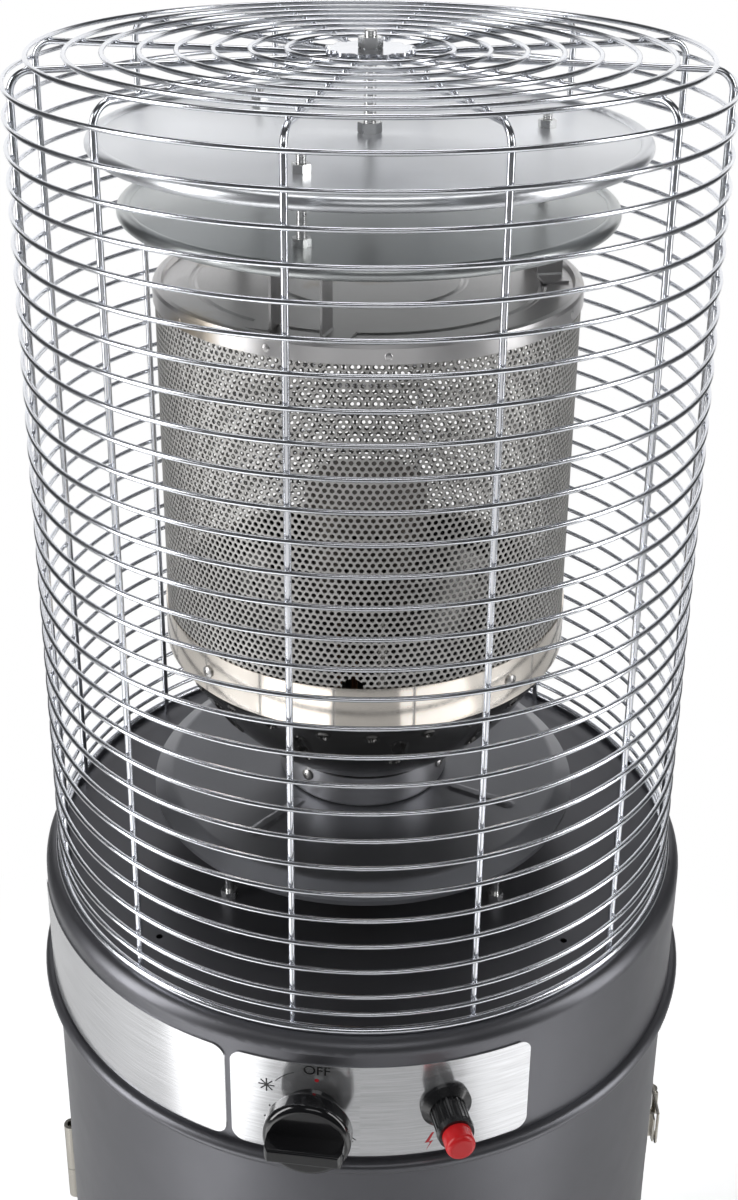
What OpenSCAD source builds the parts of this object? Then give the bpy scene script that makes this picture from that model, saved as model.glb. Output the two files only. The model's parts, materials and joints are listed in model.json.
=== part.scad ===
// Free-standing drum patio heater: gas bottle drum, control head, perforated emitter,
// stacked reflectors and a wire guard. Millimetres, +Z up, origin on the floor at the axis.

/* [Drum] */
// outside diameter of the lower drum
drum_d = 444; // [424:2:464]
// height where the lower drum ends under the head's bead
drum_top = 720; // [680:2:760]
// sheet thickness of drum, base and head
sheet_t = 1.2; // [0.8:0.1:1.6]
// height of the rubber feet
foot_h = 12; // [8:1:20]
// radius of each foot at its top
foot_r = 20; // [14:1:24]
// height of the base pan's wall
base_h = 32; // [24:1:40]
// gap between the front shell and the rear door
split_gap = 1.5; // [1:0.1:3]
// depth of the lips folded in along the door's edges
door_lip = 9; // [5:1:14]
// number of vent slots in each row of the door
vent_count = 7; // [3:1:11]
// length of each vent slot
vent_len = 34; // [16:1:50]
// width of each vent slot
vent_w = 6; // [3:0.5:9]
// radius of the bottle's seat pressed up in the base pan
seat_r = 165; // [150:1:180]
// side of the square side posts
post_w = 16; // [12:1:20]

/* [Control head] */
// height of the head from the bead to the deck
head_h = 98; // [88:1:114]
// corner radius between the head's wall and its deck
head_corner = 9; // [6:0.5:14]
// height of the rolled bead
bead_h = 9; // [8:0.5:12]
// how far the bead stands out of the head's wall
bead_out = 6; // [4.5:0.5:9]
// gap between the bead and the control panel
panel_lift = 3; // [1:0.5:8]
// angle that the control panel covers
panel_arc = 48; // [40:1:60]
// azimuth of the panel's middle, towards the right of the front
panel_az = 3.5; // [-4:0.5:8]
// thickness of the panel and the side plate
panel_t = 0.8; // [0.5:0.1:1.2]
// corner radius of the panel and the side plate
panel_corner = 8; // [4:0.5:12]
// angle that the plain side plate covers
side_arc = 56; // [40:1:70]
// gap between the panel and the side plate
side_gap_deg = 1; // [0.5:0.1:2]

/* [Controls] */
// azimuth of the knob's axis, left of the front
knob_az = 7.2; // [6:0.2:9]
// azimuth of the igniter's axis, right of the front
igniter_az = 13.3; // [11:0.1:16]
// height of the control axes below the deck
control_drop = 49; // [46:1:53]
// outside radius of the knob
knob_r = 26.5; // [22:0.5:29]
// length of the knob
knob_len = 36; // [32:1:40]
// how far the knob's grip bar stands out of its round face
knob_grip = 12.7; // [8:0.1:15]
// thickness of the knob's grip bar
knob_bar = 9.5; // [7:0.5:13]
// how far the knob is pushed in
knob_push = 3.5; // [2:0.5:5]
// radius of the valve's stem
stem_r = 4; // [3:0.25:5]
// radius of the igniter's flange
ign_flange_r = 15.8; // [14:0.1:18]
// radius of the igniter's fluted barrel
ign_barrel_r = 10.5; // [10:0.1:12]
// radius of the igniter's button
ign_button_r = 9; // [7:0.1:9.4]
// travel of the igniter's button
ign_travel = 6; // [4:0.5:8]

/* [Hinges and latch] */
// length of each hinge
hinge_len = 73; // [60:1:90]
// height of the upper hinge's middle
hinge_hi = 487; // [440:1:560]
// height of the lower hinge's middle
hinge_lo = 190; // [140:1:260]
// outside radius of the hinge knuckles
knuckle_r = 5.5; // [4.5:0.25:6]
// radius of the hinge pins
hinge_pin_r = 3; // [2:0.1:3.4]
// thickness of the hinge leaves, the latch's base and its keeper
leaf_t = 1.5; // [1:0.1:2]
// height of the latch's middle
latch_z = 540; // [500:1:600]
// width of the latch's lever
latch_w = 21.8; // [18:0.2:26]
// length of the latch's lever past its pivot
lever_len = 36; // [30:1:44]
// diameter of the latch's bail wire
bail_d = 2.4; // [1.6:0.1:2.8]

/* [Burner] */
// radius of the raised heat disc
disc_r = 146; // [130:1:155]
// height of the heat disc above the deck
disc_rise = 49; // [40:1:60]
// drop of the disc's bevelled edge
disc_bevel = 7; // [4:0.5:10]
// radius of the circle of disc studs
disc_stud_pcd = 125; // [112:1:130]
// radius of the small holes in the deck
deck_hole_r = 2.2; // [1.5:0.1:3]
// radius of the circle of deck holes
deck_hole_pcd = 184; // [172:1:194]
// radius of the burner cup
cup_r = 58; // [54:1:66]
// height of the burner cup
cup_h = 23; // [18:1:28]
// radius of the bowl's upper collar
bowl_r = 131; // [122:1:138]
// height of the bowl's cone
bowl_h = 88; // [76:1:100]
// height of the polished band
band_h = 29; // [22:1:36]
// radius of the mixing tube
mix_r = 16; // [12:0.5:20]
// radius of the burner head
burner_r = 40; // [34:1:42]
// height of the burner head
burner_h = 84; // [60:1:110]
// number of ports round the burner head
port_count = 18; // [12:1:24]

/* [Emitter] */
// length of the perforated screen between band and cap
screen_h = 206; // [180:1:230]
// thickness of the screen
screen_t = 0.8; // [0.5:0.1:1.2]
// height of the cap's band
cap_h = 12; // [10:0.5:16]
// depth of the cap's recessed plate
cap_recess = 3; // [2:0.5:5]
// half width of the arched lighting hole in the screen
arch_r = 6.5; // [4:0.5:9]

/* [Reflectors] */
// height of the strap brackets under the lower reflector
strap_h = 48; // [42:1:56]
// width of the strap brackets
strap_w = 16; // [12:1:18]
// distance between the legs of a strap bracket
strap_span = 29; // [24:1:34]
// outside radius of the lower reflector
low_ref_r = 152.5; // [140:0.5:160]
// outside radius of the upper reflector
up_ref_r = 169; // [162:0.5:180]
// distance between the two reflectors
ref_pitch = 41; // [34:1:50]
// width of the reflectors' rolled rims
rim_w = 9; // [6:0.5:12]
// thickness of the reflector sheet
ref_t = 1; // [0.7:0.1:1.4]
// distance of the reflector studs inside the cap's edge
stud_in = 23.1; // [21.6:0.1:30]
// azimuth of the first reflector stud
ref_stud_az = -19.5; // [-30:0.5:-10]
// radius of the reflector studs and the disc studs
stud_r = 3; // [2.5:0.1:3.5]
// radius of the centre stud
centre_stud_r = 4; // [3:0.1:5]

/* [Wire guard] */
// radius of the guard's uprights
guard_r = 209.6; // [205:0.1:211]
// diameter of the upright wires
up_wire_d = 4; // [3:0.1:5]
// diameter of the ring wires
ring_wire_d = 3; // [2:0.1:4]
// diameter of the base ring's wire
base_wire_d = 5; // [4:0.1:6]
// number of uprights
up_count = 12; // [8:1:16]
// azimuth of the first upright right of the front
guard_az = 18.8; // [0:0.1:29]
// number of evenly spaced side rings
ring_count = 28; // [20:1:30]
// height of the lowest even ring above the deck
ring_lo = 27; // [22:0.5:32]
// height of the extra ring next to the base ring
ring_extra = 14; // [11:0.5:17]
// height of the guard's radial wires above the deck
guard_h = 539; // [515:1:570]
// bend radius of the uprights
guard_bend = 12; // [8:1:20]
// number of rings on the guard's top
top_ring_count = 8; // [5:1:8]
// distance between the top rings
top_ring_pitch = 21.4; // [18:0.2:22]
// radius of the hub plate
hub_r = 24; // [20:0.5:27]

/* [Hidden] */
$fn = 96;
seat = 0.05;
run_fit = 0.06;
slip = 0.4;
thread_clear = 0.1;
screw_r = 2;
screw_head_r = 4;

drum_r = drum_d / 2;
base_z = foot_h + seat;
base_r = drum_r + 6;
base_top = base_z + base_h;
seat_rise = 2;
shell_z0 = base_z + sheet_t + 6;
door_z0 = base_top + 2;
head_z0 = drum_top + 2;
head_r = drum_r + sheet_t + 0.8;
head_in = head_r - sheet_t;
deck_z = head_z0 + head_h;
deck_under = deck_z - sheet_t;
shell_top = head_z0 + 24;
control_z = deck_z - control_drop;
panel_r = head_r + seat;
panel_out = panel_r + panel_t;
panel_top = deck_z - head_corner - 7;
panel_z = head_z0 + bead_h + panel_lift;
panel_h = panel_top - panel_z;
bracket_d = head_r - 26;
bracket_t = 1.5;
bracket_h = 46;
bracket_z = max(control_z - bracket_h / 2 + 4, shell_top + 1);

post_c = drum_r - sheet_t - post_w / 2 - 3;

hinge_x = drum_r + knuckle_r + 1;
leaf_in = drum_r + seat;
leaf_out = leaf_in + leaf_t;
leaf_reach = 28;
leaf_start = 7;
front_knuckle = 0.4 * hinge_len;

latch_px = drum_r + 9.5;
latch_py = 14;
bail_off = 6;
bail_len = 34;
latch_pin_r = 1.5;
ear_r = 4.2;
ear_t = 1.5;
lever_t = 1.2;
ear_in = latch_w / 2 + slip;
ear_out = ear_in + ear_t;
bail_arm = ear_out + slip + bail_d / 2;
hook_gap = 1.3;
hook_top = latch_px - bail_d / 2 - hook_gap;

valve_front = bracket_d - bracket_t - seat;
valve_back = valve_front - 48;
valve_r = 17;
knob_back = panel_out + knob_push + 0.6;
knob_front = knob_back + knob_len;
knob_face = knob_front - knob_grip;
bore_end = knob_face - 2;
stem_back = valve_front - 20;
stem_flat = knob_back - knob_push - 1;
stem_front = bore_end - knob_push - 1;
flange_front = panel_out + 2.4;
flange_cone = 3.4;
barrel_front = flange_front + 22.2;
button_front = barrel_front + 11.5;
guide_len = ign_travel + 7;
igniter_back = bracket_d - 24;

disc_top = deck_z + disc_rise;
cup_z = disc_top + seat;
cup_top = cup_z + cup_h;
bowl_z = cup_top + 1;
bowl_top = bowl_z + bowl_h;
collar_r = cup_r - sheet_t - seat;
band_z = bowl_top - 2;
band_top = band_z + band_h;
screen_in = bowl_r + seat;
screen_out = screen_in + screen_t;
band_in = screen_out + seat;
band_out = band_in + 1;
screen_z0 = band_z + 4;
cap_z = band_top + screen_h;
cap_top = cap_z + cap_h;
cap_r = screen_out + seat + sheet_t;
screen_z1 = cap_z + 4;
plate_z = cap_top - cap_recess;
groove_d = 0.9;
pilot_r = burner_r + 11;
burner_z = bowl_top + 18;
feed_z = control_z - 6;
pilot_z = control_z + 10;
couple_z = control_z + 7;
couple_x = 10;
couple_y = sqrt(pilot_r * pilot_r - couple_x * couple_x);
pipe_r = 4;
thin_r = 2;
lead_r = 1.5;

strap_t = 1.5;
strap_foot = 16;
ref_stud_pcd = cap_r - stud_in;
strap_shift = 2;
strap_z = plate_z + seat;
low_ref_z = strap_z + strap_h + seat;
up_ref_z = low_ref_z + ref_pitch;
rim_dip = 1;
nut_h = 2 * stud_r * 0.83;
nut_r = 1.92 * stud_r;
big_nut_h = 2 * centre_stud_r * 0.8;
big_nut_r = 1.85 * centre_stud_r;
ref_stud_top = up_ref_z + ref_t + seat + nut_h + 7;

wire_top = deck_z + guard_h;
side_ring_r = guard_r + (up_wire_d + ring_wire_d) / 2 + seat;
base_ring_r = guard_r + (up_wire_d + base_wire_d) / 2 + seat;
top_ring_z = wire_top + (up_wire_d + ring_wire_d) / 2 + seat;
ring_hi = guard_h - guard_bend + 1.5;
ring_step = (ring_hi - ring_lo) / (ring_count - 1);
ring_half = floor(ring_count / 2);
top_ring_r = guard_r - guard_bend + 1.4;
hub_z = wire_top + up_wire_d / 2 + seat;
hub_t = 2;
stud_top = hub_z + hub_t + seat + big_nut_h + 4;

// places its children on a circle: azimuth 0 is the front, positive to the right
module at_az(az, r, z) {
  rotate([0, 0, az])
    translate([0, -r, z])
      children();
}

// axis pointing out of the drum at an azimuth: local z is the distance from the drum's axis, local y is up
module out_axis(az, z) {
  rotate([0, 0, az])
    translate([0, 0, z])
      rotate([90, 0, 0])
        children();
}

// offset of an open path by its mitred normals, for profiles of formed sheet
function unit(v) = v / norm(v);
function left(v) = [-v[1], v[0]];
function dir_at(p, i) = unit(p[i + 1] - p[i]);
function miter(a, b) = (left(a) + left(b)) / (1 + a * b);
function path_normal(p, i) =
  i == 0 ? left(dir_at(p, 0))
  : i == len(p) - 1 ? left(dir_at(p, i - 1))
  : miter(dir_at(p, i - 1), dir_at(p, i));
function sheet(p, t) = concat(p, [for (i = [len(p) - 1:-1:0]) p[i] + t * path_normal(p, i)]);

// rounded rectangle centred on the origin
module round_rect(w, h, r) {
  square([w - 2 * r, h], center = true);
  square([w, h - 2 * r], center = true);
  for (x = [-1, 1])
    for (y = [-1, 1])
      translate([x * (w / 2 - r), y * (h / 2 - r)])
        circle(r);
}

// half profile of a round pan with its floor on the r axis
module pan_profile(r, h, t, corner) {
  square([r - corner, t]);
  translate([r - t, corner])
    square([t, h - corner]);
  translate([r - corner, corner])
    intersection() {
      difference() {
        circle(corner);
        circle(corner - t);
      }
      translate([0, -corner])
        square(corner);
    }
}

module ring_2d(r_out, r_in) {
  difference() {
    circle(r_out);
    circle(r_in);
  }
}

module torus(r, d, z) {
  translate([0, 0, z])
    rotate_extrude()
      translate([r, 0])
        circle(d = d, $fn = 24);
}

module hex_nut(r, h, bore) {
  difference() {
    intersection() {
      linear_extrude(h)
        circle(r, $fn = 6);
      union() {
        cylinder(r1 = 0.93 * r, r2 = 0.93 * r + h / 2, h = h / 2);
        translate([0, 0, h / 2])
          cylinder(r1 = 0.93 * r + h / 2, r2 = 0.93 * r, h = h / 2);
      }
    }
    translate([0, 0, -1])
      cylinder(r = bore, h = h + 2);
  }
}

// pan head screw with a cross recess, head outwards along z, shank behind
module pan_screw(head, shank) {
  difference() {
    intersection() {
      translate([0, 0, head - 1.7 * screw_head_r])
        sphere(1.7 * screw_head_r);
      cylinder(r = screw_head_r, h = head);
    }
    for (a = [0, 90])
      rotate([0, 0, a])
        translate([0, 0, head])
          cube([1.1 * screw_head_r, 0.28 * screw_head_r, 1.2 * head], center = true);
  }
  translate([0, 0, -shank])
    cylinder(r = screw_r, h = shank + 0.1);
}

// solid sector of plate standing on the drum, used by the panel and the side plate
module curved_plate(az, arc, r_in, t, z, h, corner) {
  w = 2 * (r_in + t) * sin(arc / 2);
  intersection() {
    translate([0, 0, z - 2])
      linear_extrude(h + 4)
        ring_2d(r_in + t, r_in);
    out_axis(az, z + h / 2)
      translate([0, 0, 0.3 * r_in])
        linear_extrude(r_in)
          round_rect(w, h, corner);
  }
}

module base_feet() {
  color("#1c1c1c")
    for (a = [45:90:315])
      at_az(a, drum_r - 52, 0) {
        cylinder(r1 = foot_r - 3, r2 = foot_r, h = foot_h);
      }
}

// base pan with a low round seat pressed up for the bottle
module base_pan() {
  seat_form = [[0, seat_rise], [seat_r - seat_rise, seat_rise], [seat_r, 0], [seat_r + 4, 0]];
  color("#4a4a4c")
    translate([0, 0, base_z])
      rotate_extrude() {
        difference() {
          pan_profile(base_r, base_h, sheet_t, 7);
          square([seat_r, 2 * sheet_t]);
        }
        polygon(sheet(seat_form, sheet_t));
        translate([base_r - 2, base_h - 2])
          difference() {
            circle(2, $fn = 32);
            circle(2 - sheet_t / 2, $fn = 32);
          }
      }
}

module front_shell() {
  color("#4a4a4c")
    translate([0, 0, shell_z0])
      linear_extrude(shell_top - shell_z0)
        difference() {
          ring_2d(drum_r, drum_r - sheet_t);
          translate([-drum_r - 1, -split_gap / 2])
            square([2 * drum_r + 2, drum_r + 2]);
        }
}

module vent_row(z) {
  for (i = [0:vent_count - 1])
    out_axis(180 + (i - (vent_count - 1) / 2) * 5, z)
      translate([0, 0, drum_r - 10])
        linear_extrude(20)
          round_rect(vent_w, vent_len, vent_w / 2 - 0.01);
}

module rear_door() {
  color("#4a4a4c")
    difference() {
      translate([0, 0, door_z0])
        linear_extrude(drum_top - door_z0)
          intersection() {
            union() {
              ring_2d(drum_r, drum_r - sheet_t);
              for (x = [-1, 1])
                translate([x * (drum_r - door_lip / 2 - sheet_t / 2), split_gap / 2 + sheet_t / 2])
                  square([door_lip, sheet_t], center = true);
            }
            translate([-drum_r - 1, split_gap / 2])
              square([2 * drum_r + 2, drum_r + 2]);
          }
      vent_row(door_z0 + vent_len);
      vent_row(drum_top - 1.4 * vent_len);
    }
}

module side_posts() {
  color("#3a3a3c")
    for (x = [-1, 1])
      translate([x * post_c, -post_w / 2 - 2, base_z + sheet_t + seat])
        linear_extrude(deck_under - base_z - sheet_t - 2 * seat)
          difference() {
            square(post_w, center = true);
            square(post_w - 2 * sheet_t, center = true);
          }
}

module head_cover() {
  bead_c = bead_h / 2;
  bead_x = head_r + bead_out - bead_c;
  color("#47474a")
    difference() {
      rotate_extrude() {
        translate([0, deck_z])
          mirror([0, 1])
            pan_profile(head_r, head_h - bead_h + sheet_t, sheet_t, head_corner);
        translate([bead_x, head_z0 + bead_c])
          intersection() {
            difference() {
              circle(bead_c, $fn = 48);
              circle(bead_c - sheet_t, $fn = 48);
            }
            translate([0, -bead_h])
              square([bead_h, 2 * bead_h]);
          }
        for (z = [head_z0, head_z0 + bead_h - sheet_t])
          translate([head_in, z])
            square([bead_x - head_in, sheet_t]);
      }
      translate([0, 0, deck_z - 20])
        cylinder(r = mix_r + 6, h = 40);
      for (a = [45:90:315]) {
        at_az(a, deck_hole_pcd, deck_z - 20)
          cylinder(r = deck_hole_r, h = 40);
        at_az(a, disc_stud_pcd, deck_z - 20)
          cylinder(r = stud_r + seat, h = 40);
      }
      riser_holes(deck_z);
      out_axis(-knob_az, control_z)
        translate([0, 0, head_r - 40])
          cylinder(r = stem_r + 4, h = 60);
      out_axis(igniter_az, control_z)
        translate([0, 0, head_r - 40])
          cylinder(r = ign_barrel_r - 1, h = 60);
    }
}

// holes that pass the pilot pipe, the thermocouple and the spark rod
module riser_holes(z) {
  at_az(-knob_az, pilot_r, z - 20)
    cylinder(r = thin_r + seat, h = 40);
  at_az(-knob_az, couple_y, z - 20)
    translate([-couple_x, 0, 0])
      cylinder(r = lead_r + seat, h = 40);
  at_az(igniter_az, pilot_r, z - 20)
    cylinder(r = thin_r + 1 + seat, h = 40);
}

module control_panel() {
  color("#c9c9c8")
    difference() {
      curved_plate(panel_az, panel_arc, panel_r, panel_t, panel_z, panel_h, panel_corner);
      out_axis(-knob_az, control_z)
        translate([0, 0, head_r - 40])
          cylinder(r = stem_r + 4, h = 60);
      out_axis(igniter_az, control_z)
        translate([0, 0, head_r - 40])
          cylinder(r = ign_barrel_r - 1, h = 60);
    }
}

module side_plate() {
  az = panel_az - panel_arc / 2 - side_gap_deg - side_arc / 2;
  color("#c9c9c8")
    curved_plate(az, side_arc, panel_r, panel_t, panel_z, panel_h, panel_corner);
}

// plan points on the head: a place at an azimuth, and the direction along the wall there
function polar(az, r) = [r * sin(az), -r * cos(az)];
function along(az) = [cos(az), sin(az)];

// sheet bent once between the two controls, so that each stands square on its own facet
module control_bracket() {
  half_turn = (igniter_az + knob_az) / 2;
  reach = 0.5 * head_r;
  bend = [
    polar(-knob_az, bracket_d) - reach * along(-knob_az),
    polar(igniter_az - half_turn, bracket_d / cos(half_turn)),
    polar(igniter_az, bracket_d) + reach * along(igniter_az)
  ];
  color("#8d8f91")
    difference() {
      intersection() {
        translate([0, 0, bracket_z])
          linear_extrude(bracket_h)
            polygon(sheet(bend, bracket_t));
        cylinder(r = head_in - seat, h = 2000);
      }
      out_axis(-knob_az, control_z)
        translate([0, 0, bracket_d - 20])
          cylinder(r = stem_r + 3 + seat, h = 40);
      out_axis(igniter_az, control_z)
        translate([0, 0, bracket_d - 20])
          cylinder(r = ign_barrel_r - 1.5 + seat, h = 40);
    }
}

// hinge leaf in plan: strip on the drum, link and knuckle, for the side given by s
module leaf_strip(s) {
  intersection() {
    ring_2d(leaf_out, leaf_in);
    translate([-drum_r - 20, s > 0 ? leaf_start : -leaf_reach])
      square([drum_r, leaf_reach - leaf_start]);
  }
}

module leaf_knuckle(s) {
  difference() {
    union() {
      translate([-hinge_x, 0])
        circle(knuckle_r);
      translate([-hinge_x + 0.6 * knuckle_r, s > 0 ? 0.58 * knuckle_r : -leaf_start - 2])
        square([hinge_x - 0.6 * knuckle_r - leaf_in - 0.2, leaf_start + 2 - 0.58 * knuckle_r]);
    }
    translate([-hinge_x, 0])
      circle(hinge_pin_r + run_fit);
  }
}

module hinge_front_leaves() {
  color("#b9b7b0")
    for (z = [hinge_hi, hinge_lo])
      translate([0, 0, z - hinge_len / 2]) {
        linear_extrude(hinge_len)
          leaf_strip(-1);
        linear_extrude(front_knuckle)
          leaf_knuckle(-1);
      }
}

module hinge_door_leaves() {
  color("#b9b7b0")
    for (z = [hinge_hi, hinge_lo])
      translate([0, 0, z - hinge_len / 2]) {
        linear_extrude(hinge_len)
          leaf_strip(1);
        translate([0, 0, front_knuckle + slip])
          linear_extrude(hinge_len - front_knuckle - slip)
            leaf_knuckle(1);
      }
}

module hinge_pins() {
  color("#9d9b95")
    for (z = [hinge_hi, hinge_lo])
      translate([-hinge_x, 0, z - hinge_len / 2 + 0.5])
        cylinder(r = hinge_pin_r, h = 0.8 * hinge_len);
}

// curved foot plate on the drum between two distances from the split, for base and keeper
module drum_plate(y0, y1) {
  intersection() {
    ring_2d(leaf_out, leaf_in);
    translate([0, min(y0, y1)])
      square([drum_r + 20, abs(y1 - y0)]);
  }
}

module latch_base() {
  color("#bdbbb4")
    translate([0, 0, latch_z]) {
      translate([0, 0, -ear_out])
        linear_extrude(2 * ear_out)
          drum_plate(split_gap + 3, latch_py + lever_len);
      for (z = [-ear_out, ear_in])
        translate([0, 0, z])
          linear_extrude(ear_t)
            difference() {
              union() {
                translate([latch_px, latch_py])
                  circle(ear_r);
                translate([drum_r + 0.3, latch_py - ear_r])
                  square([latch_px - drum_r - 0.3, 2 * ear_r]);
              }
              circle(drum_r + seat);
              translate([latch_px, latch_py])
                circle(latch_pin_r + seat);
            }
    }
}

module latch_pin() {
  color("#9d9b95")
    translate([latch_px, latch_py, latch_z - ear_out - 0.2])
      cylinder(r = latch_pin_r, h = 2 * ear_out + 0.4);
}

module latch_keeper() {
  color("#bdbbb4")
    translate([0, 0, latch_z - ear_in])
      linear_extrude(2 * ear_in) {
        drum_plate(-leaf_reach, -split_gap - 5);
        difference() {
          translate([drum_r, latch_py + bail_off - bail_len + 2.5])
            square([hook_top - drum_r, leaf_t]);
          circle(leaf_in + 0.2);
        }
        translate([hook_top - leaf_t, latch_py + bail_off - bail_len - 3])
          square([leaf_t, 6]);
      }
}

// lever seen along the pivot: deep at the pivot, shallow at the tip
module lever_side() {
  polygon([
    [latch_px - 1, latch_py - 3.6],
    [latch_px + 4.6, latch_py - 3.6],
    [latch_px - 5.5, latch_py + lever_len],
    [latch_px - 6.5, latch_py + lever_len],
    [latch_px - 4, latch_py + 3]
  ]);
}

module lever_web() {
  polygon([
    [latch_px + 4.6, latch_py - 3.6],
    [latch_px - 5.5, latch_py + lever_len],
    [latch_px - 5.5 - lever_t, latch_py + lever_len],
    [latch_px + 4.6 - lever_t, latch_py - 3.6]
  ]);
}

module latch_lever() {
  color("#c6c4bd")
    translate([0, 0, latch_z])
      difference() {
        union() {
          for (z = [-latch_w / 2, latch_w / 2 - lever_t])
            translate([0, 0, z])
              linear_extrude(lever_t)
                lever_side();
          translate([0, 0, -latch_w / 2])
            linear_extrude(latch_w)
              lever_web();
          translate([latch_px - 5.8, latch_py + lever_len, -latch_w / 2])
            cylinder(r = 1.6, h = latch_w, $fn = 32);
        }
        translate([latch_px, latch_py, -latch_w])
          cylinder(r = latch_pin_r + run_fit, h = 2 * latch_w);
        translate([latch_px, latch_py + bail_off, -latch_w])
          cylinder(r = bail_d / 2 + run_fit, h = 2 * latch_w);
      }
}

module latch_bail() {
  color("#d0cec8")
    translate([latch_px, latch_py + bail_off, latch_z]) {
      for (s = [-1, 1]) {
        translate([0, -bail_len, s * bail_arm])
          rotate([-90, 0, 0])
            cylinder(d = bail_d, h = bail_len, $fn = 32);
        translate([0, 0, s > 0 ? latch_w / 2 - lever_t - 0.4 : -bail_arm])
          cylinder(d = bail_d, h = bail_arm - latch_w / 2 + lever_t + 0.4, $fn = 32);
        translate([0, 0, s * bail_arm])
          sphere(d = bail_d * 1.12, $fn = 32);
        translate([0, -bail_len, s * bail_arm])
          sphere(d = bail_d * 1.12, $fn = 32);
      }
      translate([0, -bail_len, -bail_arm])
        cylinder(d = bail_d, h = 2 * bail_arm, $fn = 32);
    }
}

module gas_valve() {
  inlet = 22;
  color("#b08d4a")
    out_axis(-knob_az, control_z)
      difference() {
        union() {
          translate([0, 0, valve_back])
            cylinder(r = valve_r, h = valve_front - valve_back);
          translate([0, 0, valve_front - 1])
            cylinder(r = stem_r + 3, h = 10);
          translate([0, -valve_r + 3, valve_back + 20])
            rotate([90, 0, 0])
              cylinder(r = 7, h = 9);
          translate([0, -valve_r + 3, valve_back + 20])
            rotate([90, 0, 0])
              cylinder(r = 4.2, h = inlet);
        }
        translate([0, 0, stem_back - 1])
          cylinder(r = stem_r + run_fit, h = 60);
        translate([0, -valve_r - 1, valve_back + 20])
          rotate([90, 0, 0])
            cylinder(r = 2.5, h = inlet);
      }
}

// round stem with a flat along its front length
module stem_section(extra) {
  difference() {
    circle(stem_r + extra);
    translate([-2 * stem_r, 0.55 * stem_r + extra])
      square(4 * stem_r);
  }
}

module valve_stem() {
  color("#b9bbbd")
    out_axis(-knob_az, control_z) {
      translate([0, 0, stem_back])
        cylinder(r = stem_r, h = stem_flat - stem_back);
      translate([0, 0, stem_flat])
        linear_extrude(stem_front - stem_flat)
          stem_section(0);
    }
}

// half profile of the round body: neck behind the panel's face, flared skirt, rounded front edge
module knob_profile() {
  neck_r = 0.7 * knob_r;
  edge = 4.5;
  polygon([
    [0, knob_back], [neck_r, knob_back], [neck_r, knob_back + 6], [knob_r - 2, knob_back + 8.5],
    [knob_r, knob_back + 12], [knob_r, knob_face - edge], [0, knob_face - edge]
  ]);
  translate([0, knob_face - edge])
    square([knob_r - edge, edge]);
  translate([knob_r - edge, knob_face - edge])
    intersection() {
      circle(edge);
      square(edge);
    }
}

// grip bar across the face: rounded along its front edges and at both ends
module knob_grip_bar() {
  edge = 2;
  end_r = knob_r - 3;
  end_edge = 6;
  end_top = knob_front + 1;
  intersection() {
    rotate([90, 0, 90])
      linear_extrude(2 * knob_r, center = true) {
        translate([-knob_bar / 2, knob_face - 1])
          square([knob_bar, knob_grip + 1 - edge]);
        translate([-knob_bar / 2 + edge, knob_face])
          square([knob_bar - 2 * edge, knob_grip]);
        for (s = [-1, 1])
          translate([s * (knob_bar / 2 - edge), knob_front - edge])
            circle(edge, $fn = 32);
      }
    rotate_extrude() {
      translate([0, knob_face - 2])
        square([end_r, end_top - end_edge - knob_face + 2]);
      translate([0, end_top - end_edge])
        square([end_r - end_edge, end_edge]);
      translate([end_r - end_edge, end_top - end_edge])
        intersection() {
          circle(end_edge);
          square(end_edge);
        }
    }
  }
}

module control_knob() {
  color("#0e0e0f")
    out_axis(-knob_az, control_z)
      difference() {
        union() {
          rotate_extrude()
            knob_profile();
          knob_grip_bar();
        }
        translate([0, 0, knob_back - 1])
          linear_extrude(bore_end - knob_back + 1)
            stem_section(0.08);
      }
}

module igniter_body() {
  flutes = 20;
  color("#121213")
    difference() {
      union() {
        difference() {
          out_axis(igniter_az, control_z) {
            translate([0, 0, flange_front - 8])
              cylinder(r = ign_flange_r, h = 8);
            translate([0, 0, flange_front])
              cylinder(r1 = ign_flange_r, r2 = ign_barrel_r + 1, h = flange_cone);
          }
          cylinder(r = panel_out + seat, h = 2000);
        }
        out_axis(igniter_az, control_z) {
          translate([0, 0, igniter_back])
            cylinder(r = ign_barrel_r - 1.5, h = flange_front + 1 - igniter_back);
          translate([0, 0, flange_front - 2])
            linear_extrude(barrel_front - flange_front - 1)
              difference() {
                circle(ign_barrel_r + 0.6);
                for (i = [0:flutes - 1])
                  rotate([0, 0, i * 360 / flutes])
                    translate([ign_barrel_r + 1, 0])
                      circle(1.2, $fn = 24);
              }
          translate([0, 0, barrel_front - 3.5])
            cylinder(r1 = ign_barrel_r + 1, r2 = ign_barrel_r + 0.4, h = 3.5);
        }
      }
      out_axis(igniter_az, control_z)
        translate([0, 0, barrel_front - guide_len])
          cylinder(r = ign_button_r + run_fit, h = guide_len + 10);
    }
}

module igniter_nut() {
  color("#2b2b2d")
    out_axis(igniter_az, control_z)
      translate([0, 0, bracket_d - bracket_t - seat - 6])
        hex_nut(ign_barrel_r + 4, 6, ign_barrel_r - 1.5 + seat);
}

module igniter_button() {
  back = barrel_front - guide_len + ign_travel + 0.5;
  edge = 3.5;
  color("#d81f26")
    out_axis(igniter_az, control_z)
      rotate_extrude() {
        translate([0, back])
          square([ign_button_r, button_front - edge - back]);
        translate([0, back])
          square([ign_button_r - edge, button_front - back]);
        translate([ign_button_r - edge, button_front - edge])
          intersection() {
            circle(edge);
            square(edge);
          }
      }
}

// tube from the valve's back to the injector under the mixing tube
module gas_pipe() {
  color("#b87a4a") {
    out_axis(-knob_az, feed_z)
      cylinder(r = pipe_r, h = valve_back - seat);
    translate([0, 0, feed_z]) {
      sphere(1.3 * pipe_r);
      cylinder(r = pipe_r, h = 14);
    }
  }
}

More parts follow.
